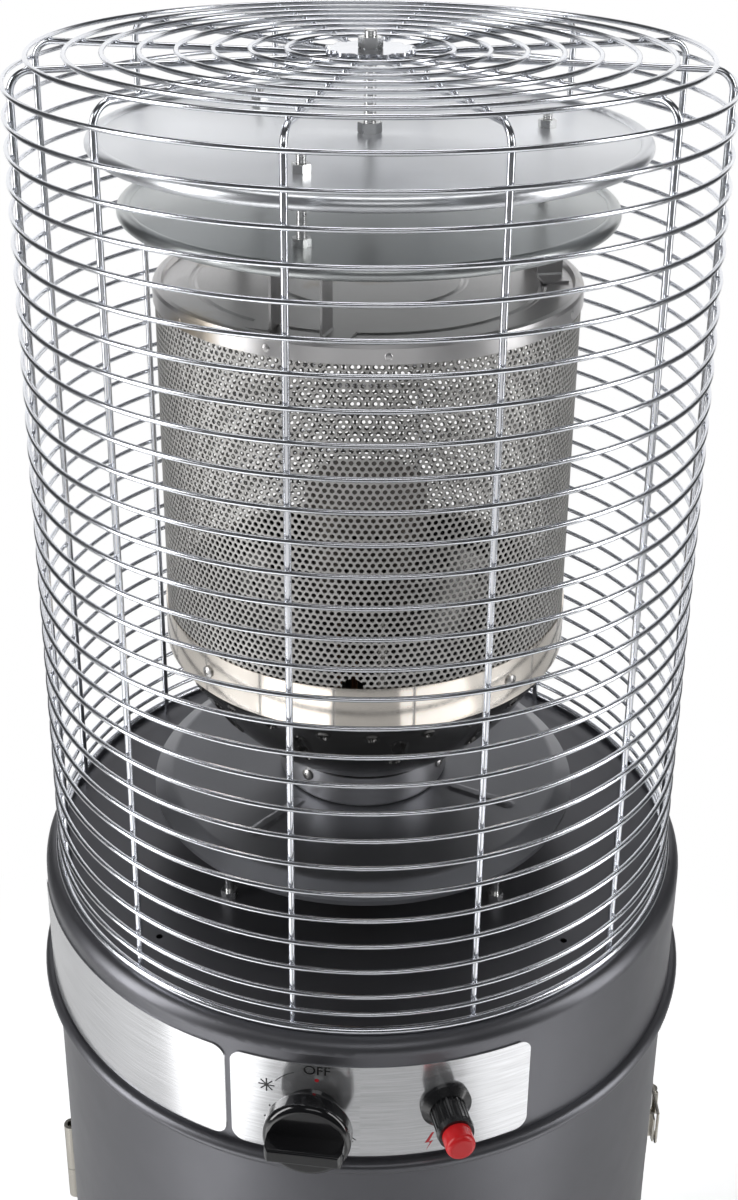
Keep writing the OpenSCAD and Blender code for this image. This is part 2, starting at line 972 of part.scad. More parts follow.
module injector() {
  color("#b9964f")
    translate([0, 0, feed_z + 14 + seat])
      difference() {
        union() {
          linear_extrude(8)
            circle(9, $fn = 6);
          cylinder(r = 6, h = 16);
        }
        translate([0, 0, 4])
          cylinder(r = 1, h = 20);
      }
}

module mixing_tube() {
  z0 = feed_z + 22 + 3 * seat;
  color("#9fa1a3")
    translate([0, 0, z0])
      difference() {
        union() {
          cylinder(r = mix_r, h = burner_z - z0 - seat);
          translate([0, 0, cup_z + sheet_t + seat - z0])
            cylinder(r = mix_r + 6, h = 3);
        }
        translate([0, 0, 3])
          cylinder(r = mix_r - 1.5, h = 600);
        translate([0, 0, -1])
          cylinder(r = 6 + seat, h = 600);
        for (a = [0:90:270])
          rotate([0, 0, a])
            translate([0, 0, 14])
              rotate([0, 90, 0])
                cylinder(r = 4.5, h = 40);
      }
}

module burner_head() {
  color("#8b8c8d")
    difference() {
      translate([0, 0, burner_z])
        cylinder(r = burner_r, h = burner_h);
      translate([0, 0, burner_z + 1.2])
        cylinder(r = burner_r - 1.2, h = burner_h - 2.4);
      translate([0, 0, burner_z - 1])
        cylinder(r = mix_r - 1.5, h = 5);
      for (i = [0:port_count - 1])
        for (k = [0:1])
          out_axis((i + k / 2) * 360 / port_count, burner_z + burner_h * (0.45 + 0.3 * k))
            translate([0, 0, burner_r - 4])
              cylinder(r = 2.4, h = 8, $fn = 24);
    }
}

// thin line that runs in from a control, turns up at the pilot circle and ends at a height
module riser_line(az, shift, depth, z, start, end, r) {
  out_axis(az, z)
    translate([shift, 0, depth])
      cylinder(r = r, h = start - depth, $fn = 32);
  at_az(az, depth, z)
    translate([shift, 0, 0]) {
      sphere(1.3 * r, $fn = 32);
      cylinder(r = r, h = end - z, $fn = 32);
    }
}

module pilot_pipe() {
  color("#b87a4a")
    riser_line(-knob_az, 0, pilot_r, pilot_z, valve_back - seat, burner_z - 16, thin_r);
}

module pilot_burner() {
  color("#a5a6a7")
    at_az(-knob_az, pilot_r, burner_z - 16 + seat)
      difference() {
        union() {
          cylinder(r = 4.5, h = 20);
          linear_extrude(6)
            circle(6.5, $fn = 6);
        }
        translate([0, 0, 8])
          cylinder(r = 3.2, h = 20);
        translate([0, 0, 15])
          rotate([90, 0, 0])
            cylinder(r = 1.6, h = 20, center = true);
      }
}

module thermocouple() {
  color("#b98a55")
    riser_line(-knob_az, -couple_x, couple_y, couple_z, valve_back - seat, burner_z + 8, lead_r);
}

module spark_rod() {
  color("#e6e2d8") {
    at_az(igniter_az, pilot_r, cup_z - 12)
      cylinder(r = thin_r + 1, h = burner_z - cup_z, $fn = 32);
    at_az(igniter_az, pilot_r, burner_z - 13)
      cylinder(r = 1, h = 22, $fn = 24);
  }
}

// lead from the igniter's back to the foot of the spark rod
module ignition_lead() {
  color("#1a1a1a")
    riser_line(igniter_az, 0, pilot_r, control_z, igniter_back - seat, cup_z - 12 - seat, lead_r);
}

module heat_disc() {
  flat = disc_r - 12;
  edge = [[mix_r + 6, disc_top], [flat, disc_top], [disc_r, disc_top - disc_bevel],
    [disc_r, disc_top - disc_bevel - 3]];
  color("#4b4b4d")
    difference() {
      union() {
        rotate_extrude()
          polygon(sheet(edge, -sheet_t));
        for (a = [45:90:315])
          at_az(a, 0.5 * (cup_r + flat), disc_top - 0.2)
            linear_extrude(1.6)
              round_rect(48, 7, 3.4);
      }
      riser_holes(disc_top);
    }
}

module disc_studs() {
  color("#c4c4c2")
    for (a = [45:90:315])
      at_az(a, disc_stud_pcd, deck_under - nut_h - 3)
        cylinder(r = stud_r, h = disc_top - sheet_t - seat - deck_under + nut_h + 3);
}

module disc_nuts() {
  color("#d2d2d0")
    for (a = [45:90:315])
      for (z = [deck_z + seat, deck_under - seat - nut_h])
        at_az(a, disc_stud_pcd, z)
          hex_nut(nut_r, nut_h, stud_r + seat);
}

module burner_cup() {
  color("#8f9092")
    difference() {
      translate([0, 0, cup_z])
        rotate_extrude()
          pan_profile(cup_r, cup_h, sheet_t, 3);
      translate([0, 0, cup_z - 5])
        cylinder(r = mix_r + seat, h = 20);
      riser_holes(cup_z);
      for (a = [-40:102:275])
        out_axis(a, cup_top - 6)
          cylinder(r = screw_r + seat, h = cup_r + 10);
    }
}

module cup_screws() {
  color("#d2d2d0")
    for (a = [-40:102:275])
      out_axis(a, cup_top - 6)
        translate([0, 0, cup_r + seat])
          pan_screw(2.6, 4);
}

module burner_bowl() {
  cone = [[collar_r, cup_top - 14], [collar_r, bowl_z], [bowl_r, bowl_top], [bowl_r, band_top - 4]];
  color("#141415")
    difference() {
      rotate_extrude()
        polygon(sheet(cone, sheet_t));
      for (a = [-40:102:275])
        out_axis(a, cup_top - 6)
          cylinder(r = screw_r + seat, h = cup_r + 10);
      for (i = [0:19])
        out_axis(4 + i * 18, bowl_z + 0.5 * bowl_h)
          translate([0, 0, collar_r])
            cylinder(r = 2.6, h = bowl_r, $fn = 32);
      for (i = [0:9])
        out_axis(13 + i * 36, bowl_z + 0.36 * bowl_h)
          translate([-5, -2, collar_r])
            cube([10, 4, bowl_r]);
      for (a = [-47, 43, 133, 223])
        out_axis(a, band_z + 0.5 * band_h)
          cylinder(r = screw_r + seat, h = bowl_r + 10);
    }
}

module emitter_band() {
  color("#e2ded6")
    difference() {
      translate([0, 0, band_z])
        linear_extrude(band_h)
          ring_2d(band_out, band_in);
      for (a = [-47, 43, 133, 223])
        out_axis(a, band_z + 0.5 * band_h)
          cylinder(r = screw_r + seat, h = bowl_r + 20);
    }
}

module band_screws() {
  color("#d8d8d6")
    for (a = [-47, 43, 133, 223])
      out_axis(a, band_z + 0.5 * band_h)
        translate([0, 0, band_out + seat])
          pan_screw(2.4, 7);
}

module emitter_screen() {
  color("#a7a6a2")
    difference() {
      translate([0, 0, screen_z0])
        linear_extrude(screen_z1 - screen_z0)
          ring_2d(screen_out, screen_in);
      for (a = [-47, 43, 133, 223])
        out_axis(a, band_z + 0.5 * band_h)
          cylinder(r = screw_r + seat, h = bowl_r + 10);
      out_axis(-3, band_top) {
        cylinder(r = arch_r, h = bowl_r + 10);
        translate([-arch_r, -3, 0])
          cube([2 * arch_r, 3, bowl_r + 10]);
      }
    }
}

// shallow groove pressed into the cap's plate, from the outside inwards
function groove(r) = [[r + 2.5, plate_z], [r + 0.8, plate_z - groove_d], [r - 0.8, plate_z - groove_d],
  [r - 2.5, plate_z]];

// drawn cap: outer band, rounded top edge and a plate just below it with two pressed grooves
module emitter_cap() {
  edge = [[cap_r, cap_z], [cap_r, cap_top - 3], [cap_r - 0.9, cap_top - 0.9], [cap_r - 3, cap_top],
    [cap_r - 5.5, cap_top], [cap_r - 7, plate_z]];
  color("#b9b4ab")
    rotate_extrude()
      polygon(sheet(concat(edge, groove(cap_r - 25), groove(0.45 * cap_r), [[0.01, plate_z]]), sheet_t));
}

// strap bent up from two feet, seen along its width
module strap_brackets() {
  h = strap_h - strap_t;
  half = strap_span / 2;
  bend = [[-half - strap_foot, 0], [-half - 2, 0], [-half, 2], [-half, h - 2], [-half + 2, h], [half - 2, h],
    [half, h - 2], [half, 2], [half + 2, 0], [half + strap_foot, 0]];
  color("#a9a59d")
    for (a = [0:120:240])
      at_az(ref_stud_az + a, ref_stud_pcd + strap_shift, strap_z)
        difference() {
          rotate([90, 0, 0])
            linear_extrude(strap_w, center = true)
              polygon(sheet(bend, strap_t));
          translate([0, strap_shift, h - 10])
            cylinder(r = stud_r + thread_clear, h = 20);
        }
}

// spun pan: flat floor and a rim rolled outwards, open underneath
module reflector(r, z) {
  roll = rim_w / 2;
  floor_end = r - rim_w + 0.8;
  difference() {
    rotate_extrude() {
      translate([centre_stud_r + seat, z])
        square([floor_end - centre_stud_r - seat, ref_t]);
      translate([r - roll, z - rim_dip])
        difference() {
          circle(roll, $fn = 48);
          circle(roll - ref_t, $fn = 48);
          translate([-2 * roll, -2 * roll])
            square([2 * roll, 2 * roll + rim_dip]);
          translate([-roll, -2 * roll])
            square([2.5 * roll, 1.2 * roll]);
        }
    }
    for (a = [0:120:240])
      at_az(ref_stud_az + a, ref_stud_pcd, z - 10)
        cylinder(r = stud_r + thread_clear, h = 20);
  }
}

module lower_reflector() {
  color("#c6c8c9")
    reflector(low_ref_r, low_ref_z);
}

module upper_reflector() {
  color("#d4d6d8")
    reflector(up_ref_r, up_ref_z);
}

module reflector_studs() {
  z0 = low_ref_z - seat - strap_t - nut_h - 2;
  color("#cfcfcd")
    for (a = [0:120:240])
      at_az(ref_stud_az + a, ref_stud_pcd, z0)
        cylinder(r = stud_r, h = ref_stud_top - z0);
}

module reflector_nuts() {
  under = low_ref_z - seat - strap_t - seat - nut_h;
  low = low_ref_z + ref_t + seat;
  mid = up_ref_z - seat - nut_h;
  high = up_ref_z + ref_t + seat;
  color("#d8d8d6")
    for (a = [0:120:240])
      for (z = [under, low, mid, high])
        at_az(ref_stud_az + a, ref_stud_pcd, z)
          hex_nut(nut_r, nut_h, stud_r + seat);
}

module centre_stud() {
  z0 = up_ref_z - seat - big_nut_h - 3;
  color("#cfcfcd")
    translate([0, 0, z0])
      cylinder(r = centre_stud_r, h = stud_top - z0);
}

module centre_nuts() {
  color("#d8d8d6")
    for (z = [up_ref_z - seat - big_nut_h, up_ref_z + ref_t + seat, hub_z - seat - big_nut_h,
        hub_z + hub_t + seat])
      translate([0, 0, z])
        hex_nut(big_nut_r, big_nut_h, centre_stud_r + seat);
}

module guard_hub() {
  color("#b4b6b9")
    translate([0, 0, hub_z])
      linear_extrude(hub_t)
        difference() {
          union() {
            circle(hub_r);
            for (i = [0:up_count - 1])
              rotate([0, 0, guard_az + i * 360 / up_count])
                translate([0, -hub_r + 1.5])
                  circle(4.6, $fn = 32);
          }
          circle(centre_stud_r + seat);
        }
}

// wire bent from a radial spoke under the hub into an upright that stands on the deck
module guard_wire() {
  inner = big_nut_r + 2;
  spoke = guard_r - guard_bend - inner;
  translate([0, -inner - spoke, wire_top])
    rotate([-90, 0, 0])
      cylinder(d = up_wire_d, h = spoke, $fn = 24);
  translate([0, -guard_r + guard_bend, wire_top - guard_bend])
    rotate([0, -90, 0])
      rotate([0, 0, -90])
        rotate_extrude(angle = 90)
          translate([guard_bend, 0])
            circle(d = up_wire_d, $fn = 24);
  translate([0, -guard_r, deck_z + seat])
    cylinder(d = up_wire_d, h = guard_h - guard_bend - seat, $fn = 24);
}

module guard_uprights() {
  color("#c3c5c8")
    for (i = [0:up_count - 1])
      rotate([0, 0, guard_az + i * 360 / up_count])
        guard_wire();
}

// one of the evenly spaced side rings, counted from the lowest
module side_ring(i) {
  torus(side_ring_r, ring_wire_d, deck_z + ring_lo + i * ring_step);
}

module guard_lower_rings() {
  color("#c3c5c8") {
    torus(side_ring_r, ring_wire_d, deck_z + ring_extra);
    for (i = [0:ring_half - 1])
      side_ring(i);
  }
}

module guard_upper_rings() {
  color("#c3c5c8")
    for (i = [ring_half:ring_count - 1])
      side_ring(i);
}

module guard_top_rings() {
  color("#c3c5c8")
    for (i = [0:top_ring_count - 1])
      torus(top_ring_r - i * top_ring_pitch, ring_wire_d, top_ring_z);
}

module guard_base_ring() {
  color("#c3c5c8")
    torus(base_ring_r, base_wire_d, deck_z + seat + base_wire_d / 2);
}

base_feet();
base_pan();
front_shell();
rear_door();
side_posts();
head_cover();
control_panel();
side_plate();
control_bracket();
hinge_front_leaves();
hinge_door_leaves();
hinge_pins();
latch_base();
latch_pin();
latch_keeper();
latch_lever();
latch_bail();
gas_valve();
valve_stem();
control_knob();
igniter_body();
igniter_nut();
igniter_button();
gas_pipe();
injector();
mixing_tube();
burner_head();
pilot_pipe();
pilot_burner();
thermocouple();
spark_rod();
ignition_lead();
heat_disc();
disc_studs();
disc_nuts();
burner_cup();
cup_screws();
burner_bowl();
emitter_band();
band_screws();
emitter_screen();
emitter_cap();
strap_brackets();
lower_reflector();
upper_reflector();
reflector_studs();
reflector_nuts();
centre_stud();
centre_nuts();
guard_hub();
guard_uprights();
guard_lower_rings();
guard_upper_rings();
guard_top_rings();
guard_base_ring();
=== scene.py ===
"""Drum patio heater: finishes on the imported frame, with holes, welds, pressed sheet, threads and marks."""

import cmath
import json
import math

import bmesh
import bpy
from mathutils import Matrix, Vector


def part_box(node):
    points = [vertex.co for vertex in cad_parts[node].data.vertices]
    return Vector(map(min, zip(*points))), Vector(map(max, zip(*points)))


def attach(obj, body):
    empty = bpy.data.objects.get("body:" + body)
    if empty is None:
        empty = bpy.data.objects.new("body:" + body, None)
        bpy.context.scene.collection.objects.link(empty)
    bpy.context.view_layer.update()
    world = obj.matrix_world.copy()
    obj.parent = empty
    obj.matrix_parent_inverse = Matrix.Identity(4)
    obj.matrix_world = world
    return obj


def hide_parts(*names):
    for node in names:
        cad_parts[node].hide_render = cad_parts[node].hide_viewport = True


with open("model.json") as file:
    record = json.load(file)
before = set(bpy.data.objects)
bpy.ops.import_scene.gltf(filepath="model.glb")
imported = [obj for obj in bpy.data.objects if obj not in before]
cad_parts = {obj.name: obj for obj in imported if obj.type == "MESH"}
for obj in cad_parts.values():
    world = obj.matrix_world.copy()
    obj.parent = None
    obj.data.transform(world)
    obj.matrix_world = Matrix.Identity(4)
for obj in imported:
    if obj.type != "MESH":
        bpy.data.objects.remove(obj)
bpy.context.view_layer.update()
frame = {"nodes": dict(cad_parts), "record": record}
NODES = frame["nodes"]

# View: a 48 mm lens on a 36 mm frame, in front of the heater and above it, looking down.
IMAGE_W, IMAGE_H = 738, 1200
FOCAL_PX = 1592.0
PRINCIPAL_PX = (366.6, 441.5)
PITCH_DEG, ROLL_DEG = 22.95, 0.58
CAMERA_AT = Vector((0.0, -0.9491, 1.5142))
SENSOR_MM = 36.0
CLIP_NEAR, CLIP_FAR = 0.01, 50.0


def put(name, data):
    """Links a new object to the scene."""
    made = bpy.data.objects.new(name, data)
    bpy.context.scene.collection.objects.link(made)
    return made


def make_camera():
    """Camera at the photograph's viewing angle and framing."""
    data = bpy.data.cameras.new("photo_camera")
    camera = put("photo_camera", data)
    data.sensor_width = SENSOR_MM
    data.lens = SENSOR_MM * FOCAL_PX / IMAGE_H
    data.shift_x = (IMAGE_W / 2 - PRINCIPAL_PX[0]) / IMAGE_H
    data.shift_y = (PRINCIPAL_PX[1] - IMAGE_H / 2) / IMAGE_H
    data.clip_start, data.clip_end = CLIP_NEAR, CLIP_FAR
    tilt = Matrix.Rotation(math.radians(90 - PITCH_DEG), 4, "X")
    roll = Matrix.Rotation(math.radians(ROLL_DEG), 4, "Z")
    camera.matrix_world = Matrix.Translation(CAMERA_AT) @ tilt @ roll
    bpy.context.scene.camera = camera


class Shader:
    """A material's node tree with short helpers."""

    def __init__(self, name):
        self.material = bpy.data.materials.new(name)
        self.material.use_nodes = True
        self.tree = self.material.node_tree
        self.bsdf = next(n for n in self.tree.nodes if n.type == "BSDF_PRINCIPLED")
        self.coord = self.node("ShaderNodeTexCoord").outputs["Object"]

    def node(self, kind, **values):
        made = self.tree.nodes.new(kind)
        for key, value in values.items():
            setattr(made, key, value)
        return made

    def link(self, a, b):
        self.tree.links.new(a, b)

    def feed(self, socket, value):
        """Links an output to a socket, or sets the socket's own value."""
        if hasattr(value, "is_linked"):
            self.link(value, socket)
        elif socket.type == "RGBA":
            socket.default_value = tuple(value) + (1.0,)
        else:
            socket.default_value = value

    def set(self, **values):
        """Sets the surface's own sockets by name."""
        for key, value in values.items():
            self.feed(self.bsdf.inputs[key.replace("_", " ")], value)

    def math(self, operation, a, b=0.0):
        made = self.node("ShaderNodeMath", operation=operation)
        for socket, value in zip(made.inputs, (a, b)):
            self.feed(socket, value)
        return made.outputs[0]

    def split(self):
        made = self.node("ShaderNodeSeparateXYZ")
        self.link(self.coord, made.inputs[0])
        return made.outputs

    def join(self, x=0.0, y=0.0, z=0.0):
        made = self.node("ShaderNodeCombineXYZ")
        for socket, value in zip(made.inputs, (x, y, z)):
            self.feed(socket, value)
        return made.outputs[0]

    def radius(self):
        """Distance from the heater's upright axis."""
        x, y, _ = self.split()
        return self.math("SQRT", self.math("ADD", self.math("MULTIPLY", x, x), self.math("MULTIPLY", y, y)))

    def turn(self):
        """Angle round the heater's upright axis."""
        x, y, _ = self.split()
        return self.math("ARCTAN2", x, y)

    def scaled(self, scale, source=None):
        mapping = self.node("ShaderNodeMapping")
        mapping.inputs["Scale"].default_value = scale
        self.link(source or self.coord, mapping.inputs["Vector"])
        return mapping.outputs["Vector"]

    def noise(self, scale, detail=3.0, rough=0.5, vector=None):
        noise = self.node("ShaderNodeTexNoise")
        noise.inputs["Scale"].default_value = scale
        noise.inputs["Detail"].default_value = detail
        noise.inputs["Roughness"].default_value = rough
        self.link(vector or self.coord, noise.inputs["Vector"])
        return noise.outputs["Fac"]

    def wall_lines(self, across, up, detail, rough):
        """Noise on an upright round wall, with its own scales round the axis and up the wall."""
        _, _, z = self.split()
        place = self.join(self.math("MULTIPLY", self.turn(), across), self.math("MULTIPLY", z, up))
        return self.noise(1.0, detail, rough, place)

    def ramp(self, factor, stops):
        made = self.node("ShaderNodeValToRGB")
        elements = made.color_ramp.elements
        while len(elements) < len(stops):
            elements.new(0.5)
        for element, (place, colour) in zip(elements, stops):
            element.position = place
            element.color = tuple(colour) + (1.0,)
        self.link(factor, made.inputs["Fac"])
        return made.outputs["Color"]

    def mottle(self, colour, spread, scale):
        """A colour that drifts a little lighter and darker over the surface."""
        stops = [(0.3, tone(colour, 1 - spread)), (0.7, tone(colour, 1 + spread))]
        return self.ramp(self.noise(scale, detail=4.0), stops)

    def span(self, factor, low, high):
        made = self.node("ShaderNodeMapRange")
        made.inputs["To Min"].default_value = low
        made.inputs["To Max"].default_value = high
        self.link(factor, made.inputs["Value"])
        return made.outputs["Result"]

    def vary(self, factor, middle, share):
        """A value that runs a share below and above its middle."""
        return self.span(factor, middle * (1 - share), middle * (1 + share))

    def bump(self, height, strength, distance):
        made = self.node("ShaderNodeBump")
        made.inputs["Strength"].default_value = strength
        made.inputs["Distance"].default_value = distance
        self.link(height, made.inputs["Height"])
        self.link(made.outputs["Normal"], self.bsdf.inputs["Normal"])

    def stretch(self, amount):
        """Draws reflections out across lines that run round the heater's axis."""
        tangent = self.node("ShaderNodeTangent", direction_type="RADIAL", axis="Z")
        self.link(tangent.outputs[0], self.bsdf.inputs["Tangent"])
        self.set(Anisotropic=amount, Anisotropic_Rotation=0.25)


def tone(colour, factor):
    """A colour made lighter or darker."""
    return tuple(min(1.0, c * factor) for c in colour)


def paint(name, colour, rough, metallic=0.0, peel=0.25, coat=0.0):
    """Sprayed or powder-coated sheet: slight mottling and orange peel."""
    s = Shader(name)
    s.set(
        Base_Color=s.mottle(colour, spread=0.08, scale=9.0),
        Roughness=s.span(s.noise(40.0), rough - 0.05, rough + 0.05),
        Metallic=metallic,
        Coat_Weight=coat,
        Coat_Roughness=0.08,
    )
    s.bump(s.noise(700.0, detail=2.0), strength=peel, distance=0.0002)
    return s.material


def metal(name, colour, rough, grain=(60.0, 60.0, 60.0), depth=0.08, spread=0.06):
    """Bare or plated metal; the grain's direction comes from the scale of its noise."""
    s = Shader(name)
    lines = s.noise(1.0, detail=3.0, rough=0.6, vector=s.scaled(grain))
    s.set(
        Base_Color=s.mottle(colour, spread, scale=14.0),
        Roughness=s.vary(lines, rough, share=0.3),
        Metallic=1.0,
    )
    s.bump(lines, strength=depth, distance=0.0002)
    return s.material


def spun(name, colour, rough):
    """Sheet spun on a lathe: fine rings round the axis."""
    s = Shader(name)
    rings = s.scaled((900.0, 0.0, 0.0), s.join(s.radius()))
    ring = s.noise(1.0, detail=4.0, rough=0.7, vector=rings)
    s.set(
        Base_Color=s.mottle(colour, spread=0.05, scale=6.0),
        Roughness=s.span(ring, rough - 0.03, rough + 0.03),
        Metallic=1.0,
    )
    s.stretch(0.5)
    s.bump(ring, strength=0.025, distance=0.0002)
    return s.material


def brushed(name, colour, rough):
    """Sheet brushed round the axis: long fine lines that draw reflections out across them."""
    s = Shader(name)
    lines = s.wall_lines(across=5.0, up=850.0, detail=4.0, rough=0.65)
    s.set(
        Base_Color=s.ramp(lines, [(0.34, tone(colour, 0.82)), (0.66, tone(colour, 1.1))]),
        Roughness=s.vary(lines, rough, share=0.3),
        Metallic=0.8,
    )
    s.stretch(0.7)
    s.bump(lines, strength=0.06, distance=0.0001)
    return s.material


def wrapped(name, colour, rough, streaks, depth):
    """Sheet rolled round the axis, with streaks across its width as the rolling leaves them."""
    s = Shader(name)
    lines = s.wall_lines(across=streaks, up=12.0, detail=3.0, rough=0.6)
    s.set(
        Base_Color=s.mottle(colour, spread=0.05, scale=12.0),
        Roughness=s.vary(lines, rough, share=0.4),
        Metallic=1.0,
    )
    s.bump(lines, strength=depth, distance=0.0003)
    return s.material


HEAT_STRAW, HEAT_BLUE = (0.52, 0.45, 0.36), (0.44, 0.45, 0.5)


def heat_tinted(name, colour, rough):
    """Stainless sheet with straw and blue heat colours in patches."""
    s = Shader(name)
    patches = s.noise(11.0, detail=4.0, rough=0.55)
    stops = [(0.4, colour), (0.56, tone(colour, 0.97)), (0.7, HEAT_STRAW), (0.8, HEAT_BLUE)]
    turned = s.scaled((700.0, 8.0, 8.0), s.join(s.radius(), s.turn()))
    lines = s.noise(1.0, detail=3.0, rough=0.6, vector=turned)
    s.set(
        Base_Color=s.ramp(patches, stops),
        Roughness=s.vary(lines, rough, share=0.3),
        Metallic=1.0,
    )
    s.bump(lines, strength=0.06, distance=0.0002)
    return s.material


def plastic(name, colour, rough, coat=0.0, grain=0.05):
    """Moulded plastic, rubber or glaze with a faint flow texture."""
    s = Shader(name)
    s.set(
        Base_Color=s.mottle(colour, spread=0.1, scale=25.0),
        Roughness=s.span(s.noise(120.0), rough - 0.03, rough + 0.04),
        Coat_Weight=coat,
        Coat_Roughness=0.05,
    )
    s.bump(s.noise(900.0, detail=2.0), strength=grain, distance=0.0001)
    return s.material


def ink(name, colour):
    """Printed mark with a slightly uneven surface."""
    s = Shader(name)
    s.set(
        Base_Color=s.mottle(colour, spread=0.1, scale=300.0),
        Roughness=s.span(s.noise(200.0), 0.4, 0.55),
    )
    return s.material


FINE_GRAIN, LATHE_GRAIN = (200.0, 200.0, 200.0), (10.0, 10.0, 500.0)
FINISHES = {
    "grey_paint": (paint, dict(colour=(0.15, 0.151, 0.164), rough=0.38, metallic=0.85)),
    "disc_paint": (paint, dict(colour=(0.235, 0.239, 0.256), rough=0.36, metallic=0.85)),
    "post_steel": (paint, dict(colour=(0.03, 0.03, 0.032), rough=0.5)),
    "foot_rubber": (plastic, dict(colour=(0.02, 0.02, 0.02), rough=0.75, grain=0.3)),
    "brushed_plate": (brushed, dict(colour=(0.73, 0.735, 0.75), rough=0.16)),
    "zinc_steel": (metal, dict(colour=(0.78, 0.78, 0.77), rough=0.27)),
    "nickel_steel": (metal, dict(colour=(0.64, 0.61, 0.55), rough=0.24)),
    "valve_brass": (metal, dict(colour=(0.66, 0.47, 0.2), rough=0.3)),
    "copper_tube": (metal, dict(colour=(0.7, 0.36, 0.2), rough=0.3)),
    "burner_steel": (metal, dict(colour=(0.16, 0.145, 0.13), rough=0.45)),
    "cup_steel": (metal, dict(colour=(0.6, 0.6, 0.62), rough=0.42, grain=LATHE_GRAIN)),
    "screw_steel": (metal, dict(colour=(0.64, 0.63, 0.62), rough=0.38)),
    "polished_steel": (wrapped, dict(colour=(0.84, 0.785, 0.715), rough=0.1, streaks=40.0, depth=0.02)),
    "screen_steel": (metal, dict(colour=(0.56, 0.55, 0.535), rough=0.6, spread=0.14)),
    "heated_steel": (heat_tinted, dict(colour=(0.64, 0.63, 0.63), rough=0.34)),
    "spun_aluminium": (spun, dict(colour=(0.77, 0.785, 0.81), rough=0.3)),
    # Darker copy of the spun aluminium: painted shade for the lower reflector, which lies in the upper
    # reflector's shade.
    "stained_aluminium": (spun, dict(colour=(0.52, 0.54, 0.54), rough=0.3)),
    "guard_chrome": (metal, dict(colour=(0.78, 0.795, 0.835), rough=0.2, grain=FINE_GRAIN, depth=0.04)),
    "black_enamel": (paint, dict(colour=(0.07, 0.068, 0.066), rough=0.24, metallic=0.8, peel=0.08, coat=0.6)),
    "black_gloss": (plastic, dict(colour=(0.008, 0.008, 0.009), rough=0.14, coat=0.4)),
    "black_satin": (plastic, dict(colour=(0.012, 0.012, 0.013), rough=0.26, coat=0.2)),
    "button_red": (plastic, dict(colour=(0.7, 0.014, 0.018), rough=0.34)),
    "white_ceramic": (plastic, dict(colour=(0.8, 0.78, 0.72), rough=0.25, coat=0.3)),
    "lead_rubber": (plastic, dict(colour=(0.015, 0.015, 0.015), rough=0.6, grain=0.2)),
    "ink_black": (ink, dict(colour=(0.012, 0.012, 0.012))),
    "ink_red": (ink, dict(colour=(0.6, 0.02, 0.03))),
}
MATERIALS = {name: make(name, **values) for name, (make, values) in FINISHES.items()}

# Nodes whose finish differs from the rest of their slot.
OWN_FINISH = {
    # The lower reflector takes the darker aluminium copy: painted shade from the reflector above it.
    "lower_reflector": "stained_aluminium",
    "band_screws": "screw_steel",
    "cup_screws": "screw_steel",
}


def dress_frame():
    """Gives every carried-over solid its finish by the record's slot."""
    slots = {p["node"]: p["material_slot"] for p in frame["record"]["subparts"]}
    for name, solid in NODES.items():
        finish = MATERIALS[OWN_FINISH.get(name, slots[name])]
        solid.data.materials.clear()
        solid.data.materials.append(finish)


def polar_points(node):
    """A node's vertices as radius, angle round the axis and height; the front is at angle 0."""
    places = [v.co for v in NODES[node].data.vertices]
    return [(math.hypot(p.x, p.y), math.atan2(p.x, -p.y), p.z) for p in places]


def first_angle(points, count):
    """First angle of solids that are repeated round the axis, from their polar points."""
    return cmath.phase(sum(cmath.exp(1j * count * p[1]) for p in points)) / count


def levels(values, gap):
    """Middles of the clusters in a list of numbers that lie further apart than a gap."""
    ordered = sorted(values)
    groups = [[ordered[0]]]
    for value in ordered[1:]:
        if value - groups[-1][-1] > gap:
            groups.append([])
        groups[-1].append(value)
    return [(g[0] + g[-1]) / 2 for g in groups]


def mesh_from(name, points, faces):
    mesh = bpy.data.meshes.new(name)
    mesh.from_pydata([tuple(p) for p in points], [], faces)
    mesh.update()
    return mesh


def mesh_of(name, made):
    """Turns a bmesh into a mesh and frees it."""
    mesh = bpy.data.meshes.new(name)
    made.to_mesh(mesh)
    made.free()
    return mesh


def ring_faces(rings, segments):
    """Quads between neighbouring rings of points."""
    faces = []
    for i in range(rings - 1):
        for k in range(segments):
            a, b = i * segments + k, i * segments + (k + 1) % segments
            faces.append((a, b, b + segments, a + segments))
    return faces


def smooth(mesh, sharp_deg):
    """Shades a mesh smooth, apart from its sharp edges."""
    mesh.shade_smooth()
    mesh.set_sharp_from_angle(angle=math.radians(sharp_deg))


def new_piece(name, mesh, material, replaced=()):
    """Links a mesh as a piece that rides on the fixed frame."""
    piece = put(name, mesh)
    mesh.materials.clear()
    mesh.materials.append(MATERIALS[material])
    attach(piece, "frame")
    if replaced:
        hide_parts(*replaced)


def start_tree(name, sizes):
    """A geometry node tree with a named input for each size."""
    tree = bpy.data.node_groups.new(name, "GeometryNodeTree")
    tree.interface.new_socket("Geometry", in_out="INPUT", socket_type="NodeSocketGeometry")
    for size, value in sizes.items():
        kind = "NodeSocketInt" if isinstance(value, int) else "NodeSocketFloat"
        tree.interface.new_socket(size, in_out="INPUT", socket_type=kind)
    tree.interface.new_socket("Geometry", in_out="OUTPUT", socket_type="NodeSocketGeometry")
    return tree, tree.nodes.new("NodeGroupInput"), tree.nodes.new("NodeGroupOutput")


def scatter(tree, points, source):
    """Node that sets a source object on points."""
    place = tree.nodes.new("GeometryNodeInstanceOnPoints")
    info = tree.nodes.new("GeometryNodeObjectInfo")
    info.inputs["Object"].default_value = source
    tree.links.new(points, place.inputs["Points"])
    tree.links.new(info.outputs["Geometry"], place.inputs["Instance"])
    return place


